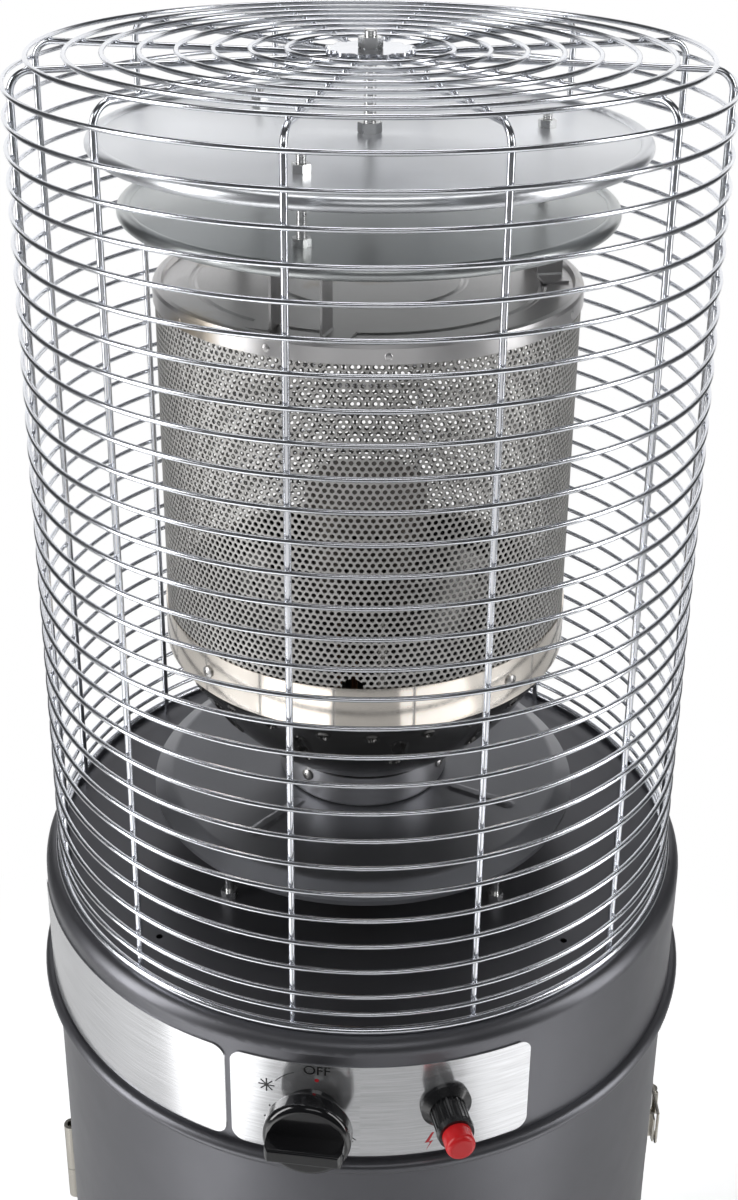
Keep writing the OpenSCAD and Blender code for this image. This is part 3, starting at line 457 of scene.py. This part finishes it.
def finish_tree(tree, instances, material, output, middle=()):
    """Realizes the instances, runs the nodes in between and sets the material."""
    realize = tree.nodes.new("GeometryNodeRealizeInstances")
    dress = tree.nodes.new("GeometryNodeSetMaterial")
    dress.inputs["Material"].default_value = MATERIALS[material]
    chain = [realize, *middle, dress]
    tree.links.new(instances, realize.inputs[0])
    for a, b in zip(chain, chain[1:]):
        tree.links.new(a.outputs[0], b.inputs[0])
    tree.links.new(dress.outputs[0], output.inputs[0])


def evaluate(tree, base, sizes):
    """Runs a geometry node tree on a base object, which is removed, and returns the plain mesh."""
    modifier = base.modifiers.new("nodes", "NODES")
    modifier.node_group = tree
    for socket in tree.interface.items_tree:
        if socket.name in sizes:
            modifier[socket.identifier] = sizes[socket.name]
    graph = bpy.context.evaluated_depsgraph_get()
    mesh = bpy.data.meshes.new_from_object(base.evaluated_get(graph), depsgraph=graph)
    base.modifiers.remove(modifier)
    bpy.data.objects.remove(base)
    return mesh


def repeat_round(name, source_mesh, count, first, material):
    """Repeats a mesh round the heater's axis and returns one plain mesh."""
    source = put(name + "_source", source_mesh)
    base = put(name + "_base", mesh_from(name + "_base", [(0, 0, 0)], []))
    sizes = {"count": count, "step": 2 * math.pi / count, "first": first}
    tree, entry, output = start_tree(name, sizes)
    nodes, links = tree.nodes, tree.links
    line = nodes.new("GeometryNodeMeshLine")
    line.inputs["Offset"].default_value = (0, 0, 0)
    links.new(entry.outputs["count"], line.inputs["Count"])
    angle = nodes.new("ShaderNodeMath")
    angle.operation = "MULTIPLY_ADD"
    links.new(nodes.new("GeometryNodeInputIndex").outputs[0], angle.inputs[0])
    links.new(entry.outputs["step"], angle.inputs[1])
    links.new(entry.outputs["first"], angle.inputs[2])
    turn = nodes.new("ShaderNodeCombineXYZ")
    links.new(angle.outputs[0], turn.inputs[2])
    place = scatter(tree, line.outputs[0], source)
    links.new(turn.outputs[0], place.inputs["Rotation"])
    finish_tree(tree, place.outputs[0], material, output)
    mesh = evaluate(tree, base, sizes)
    bpy.data.objects.remove(source)
    mesh.name = name
    mesh.shade_smooth()
    return mesh


# Perforated screen: rows of round holes, each row shifted by half a hole, rolled into the cylinder.
# The row height and the distance to the top edge are shares of the pitch; the foot laps into the band.
HOLE_COLUMNS = 192
HOLE_RADIUS = 0.0015
ROW_SHARE = 0.83
EDGE_SHARE = 0.6
SCREEN_SHEET = 0.0008
SCREEN_PIECES = 4
SCREEN_LAP = 0.008
CELL_WELD = 0.00005
SCREEN_SHARP_DEG = 35
ARCH_HALF = 0.0065
ARCH_ANGLE = math.radians(-3.0)
ARCH_SIDES = 12


def hex_cell(pitch, row, hole, depth):
    """One cell of the screen: a hexagon with a round hole and the hole's wall."""
    sixth, twelfth = math.pi / 3, math.pi / 6
    side, peak = pitch / math.sqrt(3), row / 1.5
    points = [(side * math.sin(k * sixth), 0.0, peak * math.cos(k * sixth)) for k in range(6)]
    for y in (0.0, depth):
        points += [(hole * math.sin(k * twelfth), y, hole * math.cos(k * twelfth)) for k in range(12)]
    faces = []
    for k in range(6):
        after, near, mid, far = (k + 1) % 6, 6 + 2 * k, 7 + 2 * k, 6 + (2 * k + 2) % 12
        faces += [(k, near, mid), (k, mid, after), (after, mid, far)]
        faces += [(i, i + 12, j + 12, j) for i, j in ((near, mid), (mid, far))]
    return mesh_from("hex_cell", points, faces)


def roll_up(tree, entry):
    """Nodes that weld the cells and wrap x round the screen's circle; x = 0 is the front, y is depth."""
    nodes, links = tree.nodes, tree.links
    radius = entry.outputs["radius"]

    def value(operation, a, b=None):
        made = nodes.new("ShaderNodeMath")
        made.operation = operation
        for socket, source in zip(made.inputs, (a, b)):
            if hasattr(source, "is_linked"):
                links.new(source, socket)
            elif source is not None:
                socket.default_value = source
        return made.outputs[0]

    weld = nodes.new("GeometryNodeMergeByDistance")
    links.new(entry.outputs["weld"], weld.inputs["Distance"])
    parts = nodes.new("ShaderNodeSeparateXYZ")
    links.new(nodes.new("GeometryNodeInputPosition").outputs[0], parts.inputs[0])
    angle = value("DIVIDE", parts.outputs[0], radius)
    inwards = value("SUBTRACT", parts.outputs[1], radius)
    outwards = value("MULTIPLY", inwards, -1.0)
    place = nodes.new("ShaderNodeCombineXYZ")
    links.new(value("MULTIPLY", value("SINE", angle), outwards), place.inputs[0])
    links.new(value("MULTIPLY", value("COSINE", angle), inwards), place.inputs[1])
    links.new(parts.outputs[2], place.inputs[2])
    move = nodes.new("GeometryNodeSetPosition")
    links.new(place.outputs[0], move.inputs["Position"])
    return [weld, move]


def in_arch(face, middle, foot, reach):
    """Whether a face's middle lies within a reach of the arch's own middle."""
    x, y, z = face.calc_center_median()
    return y < 0 and math.hypot(x - middle, max(0.0, z - foot)) < reach


def cut_arch(mesh, middle, foot):
    """Cuts the lighting hole: straight sides up from the band's edge and a round top."""
    made = bmesh.new()
    made.from_mesh(mesh)
    centre = Vector((middle, 0, foot))
    for k in range(ARCH_SIDES + 1):
        turn = math.pi * k / ARCH_SIDES
        out = Vector((math.cos(turn), 0, math.sin(turn)))
        around = [f for f in made.faces if in_arch(f, middle, foot, 2 * ARCH_HALF)]
        parts = list(dict.fromkeys(p for f in around for p in (f, *f.edges, *f.verts)))
        bmesh.ops.bisect_plane(made, geom=parts, plane_co=centre + out * ARCH_HALF, plane_no=out)
    inside = [f for f in made.faces if in_arch(f, middle, foot, ARCH_HALF)]
    bmesh.ops.delete(made, geom=inside, context="FACES")
    made.to_mesh(mesh)
    made.free()


def make_screen():
    """Perforated screen in upright strips, so that each piece stays light."""
    top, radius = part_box("emitter_screen")[1][2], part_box("emitter_screen")[1][0]
    band_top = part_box("emitter_band")[1][2]
    pitch = 2 * math.pi * radius / HOLE_COLUMNS
    row = ROW_SHARE * pitch
    rows = int((top - band_top + SCREEN_LAP) / row)
    lowest = top - (rows - 1) * row - EDGE_SHARE * pitch
    columns = HOLE_COLUMNS // SCREEN_PIECES
    cell = put("screen_cell", hex_cell(pitch, row, HOLE_RADIUS, SCREEN_SHEET))
    sizes = {"radius": radius, "weld": CELL_WELD}
    tree, entry, output = start_tree("perforation", sizes)
    place = scatter(tree, entry.outputs["Geometry"], cell)
    finish_tree(tree, place.outputs[0], "screen_steel", output, roll_up(tree, entry))
    for strip in range(SCREEN_PIECES):
        first = strip * columns - columns // 2
        holes = []
        for i in range(rows):
            shift = first + 0.5 * (i % 2)
            holes += [((shift + j) * pitch, 0, lowest + i * row) for j in range(columns)]
        mesh = evaluate(tree, put("screen_base", mesh_from("screen_base", holes, [])), sizes)
        if strip == 0:
            cut_arch(mesh, ARCH_ANGLE * radius, band_top)
        smooth(mesh, SCREEN_SHARP_DEG)
        name = "screen_holes_%d" % (strip + 1)
        new_piece(name, mesh, "screen_steel", ("emitter_screen",))
    bpy.data.objects.remove(cell)


# Welds: spots round the cap's band, nuggets where the guard's wires cross.
CAP_WELDS = 12
CAP_WELD_ANGLE = math.radians(5.0)
CAP_WELD_RISE = 0.0045
CAP_WELD_RADIUS, CAP_WELD_PROUD = 0.0024, 0.0004
UPRIGHTS = 12
WIRE_GAP = 0.003
NUGGET_WIDE, NUGGET_LONG, NUGGET_PROUD = 0.0021, 0.0015, 0.0011


def add_blob(points, faces, place, size, rings=6, segments=10):
    """Adds a flattened ball to lists of points and faces: a pole, rings upwards and a pole."""
    bottom = len(points)
    turns = [math.pi / 2 + 2 * math.pi * k / segments for k in range(segments)]
    ball = [(0, 0, -1)]
    for i in range(1, rings):
        reach, rise = math.sin(math.pi * i / rings), -math.cos(math.pi * i / rings)
        ball += [(reach * math.cos(t), reach * math.sin(t), rise) for t in turns]
    ball.append((0, 0, 1))
    points += [tuple(p + b * half for p, b, half in zip(place, spot, size)) for spot in ball]
    low, top = bottom + 1, len(points) - 1
    high = top - segments
    for k in range(segments):
        after = (k + 1) % segments
        faces += [(bottom, low + after, low + k), (top, high + k, high + after)]
    faces += [tuple(low + i for i in face) for face in ring_faces(rings - 1, segments)]


def make_cap_welds():
    """Spot welds round the cap's band."""
    low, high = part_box("emitter_cap")
    size = (CAP_WELD_RADIUS, CAP_WELD_PROUD, CAP_WELD_RADIUS)
    points, faces = [], []
    add_blob(points, faces, (0, -high[0], low[2] + CAP_WELD_RISE), size, segments=14)
    weld = mesh_from("cap_weld", points, faces)
    welds = repeat_round("cap_welds", weld, CAP_WELDS, CAP_WELD_ANGLE, "heated_steel")
    new_piece("cap_welds", welds, "heated_steel")


def make_guard_welds():
    """Nuggets between each upright and the rings that it carries."""
    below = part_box("guard_upper_rings")[0][2]
    uprights = [p for p in polar_points("guard_uprights") if p[2] < below]
    outside = max(p[0] for p in uprights)
    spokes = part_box("guard_uprights")[1][2]
    rings = [p[2] for node in ("guard_lower_rings", "guard_upper_rings") for p in polar_points(node)]
    points, faces = [], []
    for z in levels(rings, WIRE_GAP):
        add_blob(points, faces, (0, -outside, z), (NUGGET_WIDE, NUGGET_PROUD, NUGGET_LONG))
    for r in levels([p[0] for p in polar_points("guard_top_rings")], WIRE_GAP):
        add_blob(points, faces, (0, -r, spokes), (NUGGET_WIDE, NUGGET_LONG, NUGGET_PROUD))
    first = first_angle(uprights, UPRIGHTS)
    weld = mesh_from("guard_weld", points, faces)
    welds = repeat_round("guard_welds", weld, UPRIGHTS, first, "guard_chrome")
    new_piece("guard_welds", welds, "guard_chrome")


# Pressed sheet: the heat disc's bars, and the bowl with its rimmed slots and holes.
# The middles of slots and holes are shares of the way up the bowl's slope.
PRESSED_SHEET = 0.0012
PRESSED_SHARP_DEG = 40
DISC_BEVEL, DISC_LIP = 0.012, 0.003
DISC_STEPS = (56, 6, 1, 1, 1, 4, 4)
DISC_SEGMENTS = 640
BAR_AZIMUTHS = [math.radians(a) for a in (-40, 62, 191)]
BAR_ENDS = (0.068, 0.11)
BAR_HALF, BAR_RISE, BAR_EDGE = 0.0026, 0.0014, 0.0018
BOWL_BULGE = 0.009
BOWL_STEPS, BOWL_SEGMENTS = 90, 720
BOWL_PLAIN_SHARE = 0.02
CUP_CLEARANCE, BAND_LAP = 0.001, 0.002
SLOT_AZIMUTHS = [math.radians(10.5 + 30 * k) for k in range(12)]
SLOT_MIDDLE, SLOT_LENGTH, SLOT_HALF = 0.64, 0.026, 0.0034
PUNCH_AZIMUTHS = [a + math.radians(d) for a in SLOT_AZIMUTHS for d in (-8.2, 8.2)]
PUNCH_MIDDLE, PUNCH_HALF = 0.85, 0.0022
PUNCH_DEPTH, PUNCH_EDGE = 0.003, 0.0006
RIM_RISE, RIM_OFFSET, RIM_HALF = 0.001, 0.0012, 0.0014


def ease(value):
    """Smooth step from 0 to 1."""
    t = min(1.0, max(0.0, value))
    return t * t * (3 - 2 * t)


def nearest_turn(angle, turns):
    """Difference between an angle and the nearest of several turns."""
    return min(((angle - t + math.pi) % (2 * math.pi) - math.pi for t in turns), key=abs)


def lathe_relief(name, profile, height, segments):
    """Turned sheet whose points, radius and height along a profile, are lifted by a relief."""
    points = []
    for i, (r, z) in enumerate(profile):
        before, after = profile[max(i - 1, 0)], profile[min(i + 1, len(profile) - 1)]
        along = Vector((after[0] - before[0], after[1] - before[1])).normalized()
        for k in range(segments):
            angle = 2 * math.pi * k / segments
            lift = height(r, z, angle)
            reach, level = r - along.y * lift, z + along.x * lift
            points.append((reach * math.sin(angle), -reach * math.cos(angle), level))
    mesh = mesh_from(name, points, ring_faces(len(profile), segments))
    smooth(mesh, PRESSED_SHARP_DEG)
    return mesh


def blend(a, b, steps):
    """Points from a to b, without b."""
    return [(a[0] + (b[0] - a[0]) * k / steps, a[1] + (b[1] - a[1]) * k / steps) for k in range(steps)]


def make_heat_disc():
    """Disc with a bevelled edge and bars pressed up along its radii."""
    low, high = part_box("heat_disc")
    rim, top = high[0], high[2] - BAR_RISE
    hole = min(p[0] for p in polar_points("heat_disc"))
    flat, foot, sheet = rim - DISC_BEVEL, low[2], PRESSED_SHEET
    corners = [(hole, top), (flat, top), (rim, foot + DISC_LIP), (rim, foot), (rim - sheet, foot)]
    corners += [(rim - sheet, foot + DISC_LIP - sheet / 2), (flat, top - sheet), (hole, top - sheet)]
    profile = [p for a, b, n in zip(corners, corners[1:], DISC_STEPS) for p in blend(a, b, n)] + corners[-1:]

    def height(r, z, angle):
        side = r * math.sin(nearest_turn(angle, BAR_AZIMUTHS))
        past = max(BAR_ENDS[0] - r, r - BAR_ENDS[1], 0.0)
        away = math.hypot(side, past) - BAR_HALF
        return BAR_RISE * ease(1 - away / BAR_EDGE) if z > top - sheet / 2 else 0.0

    mesh = lathe_relief("pressed_disc", profile, height, DISC_SEGMENTS)
    new_piece("pressed_disc", mesh, "disc_paint", ("heat_disc",))


def make_bowl():
    """Slightly bulged bowl with upright slots and a row of holes, each with a raised rim."""
    low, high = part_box("burner_bowl")
    collar = min(p[0] for p in polar_points("burner_bowl")) + PRESSED_SHEET
    start = Vector((collar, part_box("burner_cup")[1][2] + CUP_CLEARANCE))
    end = Vector((high[0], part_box("emitter_band")[0][2] + BAND_LAP))
    slope = end - start
    out = Vector((slope.y, -slope.x)).normalized()

    def on_slope(t):
        return tuple(start + slope * t + out * (BOWL_BULGE * 4 * t * (1 - t)))

    bulge = [on_slope(k / BOWL_STEPS) for k in range(BOWL_STEPS + 1)]
    profile = [(collar, low[2]), *bulge, (high[0], high[2])]

    def punched(away, half):
        rim = ease(1 - abs(away - half - RIM_OFFSET) / RIM_HALF)
        return RIM_RISE * rim - PUNCH_DEPTH * ease((half - away) / PUNCH_EDGE)

    def height(r, z, angle):
        t = (z - start.y) / slope.y
        if not BOWL_PLAIN_SHARE < t < 1 - BOWL_PLAIN_SHARE:
            return 0.0
        side = abs(r * nearest_turn(angle, SLOT_AZIMUTHS))
        past = max(0.0, abs(t - SLOT_MIDDLE) * slope.length - SLOT_LENGTH / 2)
        slot = punched(math.hypot(side, past), SLOT_HALF)
        turn = abs(r * nearest_turn(angle, PUNCH_AZIMUTHS))
        hole = punched(math.hypot(turn, (t - PUNCH_MIDDLE) * slope.length), PUNCH_HALF)
        return -(slot if abs(slot) > abs(hole) else hole)

    mesh = lathe_relief("pressed_bowl", profile, height, BOWL_SEGMENTS)
    new_piece("pressed_bowl", mesh, "black_enamel", ("burner_bowl",))


# Threaded rods: M6 at the reflectors, M8 at the centre.
# The thread's depth is a share of the pitch, and a crest's ends are shares of a turn.
REFLECTOR_STUDS = 3
M6_PITCH, M8_PITCH = 0.001, 0.00125
THREAD_DEPTH_SHARE = 0.55
CREST_START, CREST_END = 0.4, 0.6
ROD_SEGMENTS = 20


def threaded_rod(name, node, count, pitch):
    """Replaces plain studs by rods whose thread is cut into their length."""
    low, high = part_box(node)
    radius, first, rod = 0.0, 0.0, high[0]
    if count > 1:
        points = polar_points(node)
        radius = sum(p[0] for p in points) / len(points)
        first = first_angle(points, count)
        rod = max(p[0] for p in points) - radius
    turns = int((high[2] - low[2]) / pitch)
    step = (high[2] - low[2]) / turns
    root = rod - THREAD_DEPTH_SHARE * pitch
    profile = [(root, low[2])]
    for k in range(turns):
        z = low[2] + k * step
        profile += [(rod, z + CREST_START * step), (rod, z + CREST_END * step), (root, z + step)]
    angles = [2 * math.pi * k / ROD_SEGMENTS for k in range(ROD_SEGMENTS)]
    points = [(r * math.cos(a), r * math.sin(a) - radius, z) for r, z in profile for a in angles]
    last = (len(profile) - 1) * ROD_SEGMENTS
    faces = ring_faces(len(profile), ROD_SEGMENTS)
    faces += [tuple(reversed(range(ROD_SEGMENTS))), tuple(range(last, last + ROD_SEGMENTS))]
    rods = repeat_round(name, mesh_from(name + "_rod", points, faces), count, first, "zinc_steel")
    new_piece(name, rods, "zinc_steel", (node,))


# Marks printed on the control panel; their places are to the right of and above a control's axis.
INK_LIFT = 0.00008
PANEL_RADIUS = -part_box("control_panel")[0][1]
OFF_AT, OFF_HEIGHT = (0.002, 0.0288), 0.0094
DOT_AT, DOT_RADIUS = (0.002, 0.0217), 0.0013
ARC_RADIUS, ARC_WIDTH = 0.0282, 0.0005
ARC_START_DEG, ARC_END_DEG = 24, 54
SPARK_AT, SPARK_REACH, SPARK_WIDTH = (-0.0285, 0.0125), 0.0045, 0.0009
STEP_DOTS = (((-0.0268, -0.0035), 0.0006), ((-0.0298, -0.0125), 0.0007))
TICK_START, TICK_END, TICK_WIDTH = (0.0205, -0.0205), (0.0245, -0.0245), 0.0006
TICK_SHIFTS = (-0.0008, 0.0008)
BOLT_AT = (-0.0087, -0.0295)
BOLT_UPPER = ((0.0012, 0.008), (-0.003, 0.0002), (-0.0006, 0.0006), (0.0026, 0.008))
BOLT_LOWER = ((-0.0006, 0.0006), (0.002, 0.0016), (-0.0022, -0.006), (0.0002, -0.0005))


def axis_on_panel(node):
    """Where a control's axis passes the panel, as distance to the right and height."""
    low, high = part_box(node)
    angle = math.atan2(low[0] + high[0], -low[1] - high[1])
    return PANEL_RADIUS * math.sin(angle), (low[2] + high[2]) / 2


def beside(point, offset):
    """A point at an offset from another one."""
    return point[0] + offset[0], point[1] + offset[1]


def to_panel(x, z):
    """Point on the panel's face at a distance x from the axis and a height z."""
    radius = PANEL_RADIUS + INK_LIFT
    return Vector((x, -math.sqrt(radius * radius - x * x), z))


def flat_mark(name, polygons, material):
    """Lays flat polygons, given as x and z, on the panel."""
    made = bmesh.new()
    for polygon in polygons:
        made.faces.new([made.verts.new((x, 0, z)) for x, z in polygon])
    bmesh.ops.triangulate(made, faces=made.faces[:])
    bmesh.ops.recalc_face_normals(made, faces=made.faces[:])
    for face in made.faces:
        if face.normal.y > 0:
            face.normal_flip()
    for vert in made.verts:
        vert.co = to_panel(vert.co.x, vert.co.z)
    new_piece(name, mesh_of(name, made), material)


def word_mark(name, word, height, place, material):
    """Lays a word on the panel with its middle at a place."""
    curve = bpy.data.curves.new(name, "FONT")
    curve.body = word
    curve.size = height
    curve.align_x = "CENTER"
    curve.align_y = "CENTER"
    text = put(name + "_text", curve)
    graph = bpy.context.evaluated_depsgraph_get()
    mesh = bpy.data.meshes.new_from_object(text.evaluated_get(graph), depsgraph=graph)
    bpy.data.objects.remove(text)
    made = bmesh.new()
    made.from_mesh(mesh)
    bmesh.ops.triangulate(made, faces=made.faces[:])
    for vert in made.verts:
        vert.co = to_panel(*beside(place, vert.co))
    made.to_mesh(mesh)
    made.free()
    new_piece(name, mesh, material)


def arc_strip(centre, radius, width, start, end, steps=24):
    """Polygons of a thin arc; angles in degrees from straight up, anticlockwise positive."""
    polygons = []
    for k in range(steps):
        a, b = (math.radians(start + (end - start) * (k + d) / steps) for d in (0, 1))
        corners = ((radius, a), (radius, b), (radius + width, b), (radius + width, a))
        polygons.append([(centre[0] - r * math.sin(t), centre[1] + r * math.cos(t)) for r, t in corners])
    return polygons


def disc(place, radius, count=20):
    """Outline of a round dot."""
    turns = [2 * math.pi * k / count for k in range(count)]
    return [(place[0] + radius * math.cos(t), place[1] + radius * math.sin(t)) for t in turns]


def stroke(a, b, width):
    """A straight bar from one point to another."""
    along = (Vector(b) - Vector(a)).normalized() * width / 2
    side = Vector((-along.y, along.x))
    corners = ((a, side - along), (b, side + along), (b, along - side), (a, -side - along))
    return [tuple(Vector(p) + shift) for p, shift in corners]


def star(place, reach, width, arms=4):
    """A spark sign: bars that cross in one point."""
    turns = [math.pi * k / arms for k in range(arms)]
    tips = [(reach * math.sin(t), reach * math.cos(t)) for t in turns]
    return [stroke(beside(place, (-u, -w)), beside(place, (u, w)), width) for u, w in tips]


def make_panel_marks():
    """Generic marks round the knob and a bolt under the igniter."""
    knob = axis_on_panel("control_knob")
    igniter = axis_on_panel("igniter_button")
    word_mark("mark_off", "OFF", OFF_HEIGHT, beside(knob, OFF_AT), "ink_black")
    flat_mark("mark_dot", [disc(beside(knob, DOT_AT), DOT_RADIUS)], "ink_red")
    arc = arc_strip(knob, ARC_RADIUS, ARC_WIDTH, ARC_START_DEG, ARC_END_DEG)
    flat_mark("mark_arc", arc, "ink_black")
    flat_mark("mark_spark", star(beside(knob, SPARK_AT), SPARK_REACH, SPARK_WIDTH), "ink_black")
    flat_mark("mark_steps", [disc(beside(knob, at), radius) for at, radius in STEP_DOTS], "ink_black")
    ends = beside(knob, TICK_START), beside(knob, TICK_END)
    ticks = [stroke(*(beside(end, (d, d)) for end in ends), TICK_WIDTH) for d in TICK_SHIFTS]
    flat_mark("mark_full", ticks, "ink_black")
    corner = beside(igniter, BOLT_AT)
    bolt = [[beside(corner, point) for point in half] for half in (BOLT_UPPER, BOLT_LOWER)]
    flat_mark("mark_bolt", bolt, "ink_red")


# Studio: white paper lit in front, soft lights at both sides and behind, weaker ones above.
PAPER, PAPER_ROUGH = (0.9, 0.9, 0.9), 0.8
FLOOR_HALF = 6
ROOM_COLOUR, ROOM_LIGHT = (0.92, 0.95, 1.0), 0.05
SHADOW_GAIN = 1.75
SHADOW_REACH = (0.5, 1.1)
# Each lamp's name, place, aim, width and height, and power.
LAMPS = (
    ("left", (-2.1, -0.7, 1.5), (0, 0, 0.95), (0.75, 2.4), 38),
    ("right", (2.1, -0.5, 1.5), (0, 0, 0.95), (0.6, 2.4), 23),
    ("top", (0, 0.5, 3.2), (0, 0, 1.0), (1.6, 1.0), 12),
    ("front", (0.2, -2.3, 3.0), (0, 0, 1.1), (1.6, 0.7), 7),
    ("back", (0, 3.0, 1.4), (0, 0, 1.0), (5.0, 2.8), 46),
    ("paper", (0, -3.0, 0.03), (0, -3.0, 3.0), (3.4, 2.0), 16),
    ("paper_left", (-0.95, -1.1, 0.03), (-0.95, -1.1, 3.0), (0.9, 1.3), 5),
    ("paper_right", (1.0, -1.0, 0.03), (1.0, -1.0, 3.0), (0.9, 1.3), 3),
)


def white_glow(tree):
    """Plain white light from a surface."""
    white = tree.nodes.new("ShaderNodeEmission")
    white.inputs["Color"].default_value = (1, 1, 1, 1)
    return white


def shaded_white(s):
    """White paper that shows the shadow of what stands on it, round its foot."""
    lit = s.node("ShaderNodeBsdfDiffuse")
    s.feed(lit.inputs["Color"], (SHADOW_GAIN, SHADOW_GAIN, SHADOW_GAIN))
    far = s.node("ShaderNodeMapRange", interpolation_type="SMOOTHSTEP")
    far.inputs["From Min"].default_value, far.inputs["From Max"].default_value = SHADOW_REACH
    both = s.node("ShaderNodeMixShader")
    s.link(s.radius(), far.inputs["Value"])
    s.link(far.outputs["Result"], both.inputs[0])
    s.link(lit.outputs[0], both.inputs[1])
    s.link(white_glow(s.tree).outputs[0], both.inputs[2])
    return both


def to_camera(tree, white, shader, output_type):
    """Shows a white shader to the camera and another one to everything else."""
    output = next(n for n in tree.nodes if n.type == output_type)
    path = tree.nodes.new("ShaderNodeLightPath")
    choose = tree.nodes.new("ShaderNodeMixShader")
    tree.links.new(path.outputs["Is Camera Ray"], choose.inputs[0])
    tree.links.new(shader.outputs[0], choose.inputs[1])
    tree.links.new(white.outputs[0], choose.inputs[2])
    tree.links.new(choose.outputs[0], output.inputs["Surface"])


def make_floor():
    """Pale paper floor."""
    corners = [(x * FLOOR_HALF, y * FLOOR_HALF, 0) for x, y in ((-1, -1), (1, -1), (1, 1), (-1, 1))]
    mesh = mesh_from("floor", corners, [(0, 1, 2, 3)])
    floor = put("floor", mesh)
    s = Shader("floor_paper")
    s.set(Base_Color=s.mottle(PAPER, spread=0.01, scale=3.0), Roughness=PAPER_ROUGH)
    to_camera(s.tree, shaded_white(s), s.bsdf, "OUTPUT_MATERIAL")
    mesh.materials.append(s.material)


def make_room():
    """Dim room that is white to the camera."""
    world = bpy.data.worlds.new("studio")
    bpy.context.scene.world = world
    world.use_nodes = True
    tree = world.node_tree
    room = next(n for n in tree.nodes if n.type == "BACKGROUND")
    room.inputs["Color"].default_value = (*ROOM_COLOUR, 1)
    room.inputs["Strength"].default_value = ROOM_LIGHT
    to_camera(tree, white_glow(tree), room, "OUTPUT_WORLD")


def make_lamps():
    """Soft rectangular lamps."""
    for name, place, aim, size, power in LAMPS:
        data = bpy.data.lights.new(name, "AREA")
        data.shape = "RECTANGLE"
        data.size, data.size_y = size
        data.energy = power
        lamp = put(name, data)
        lamp.location = place
        lamp.rotation_euler = (Vector(aim) - Vector(place)).to_track_quat("-Z", "Y").to_euler()


make_camera()
dress_frame()
make_screen()
make_cap_welds()
make_guard_welds()
make_heat_disc()
make_bowl()
threaded_rod("reflector_rods", "reflector_studs", REFLECTOR_STUDS, M6_PITCH)
threaded_rod("centre_rod", "centre_stud", 1, M8_PITCH)
make_panel_marks()
make_floor()
make_room()
make_lamps()
bpy.context.scene.view_settings.view_transform = "Standard"

bpy.context.view_layer.update()
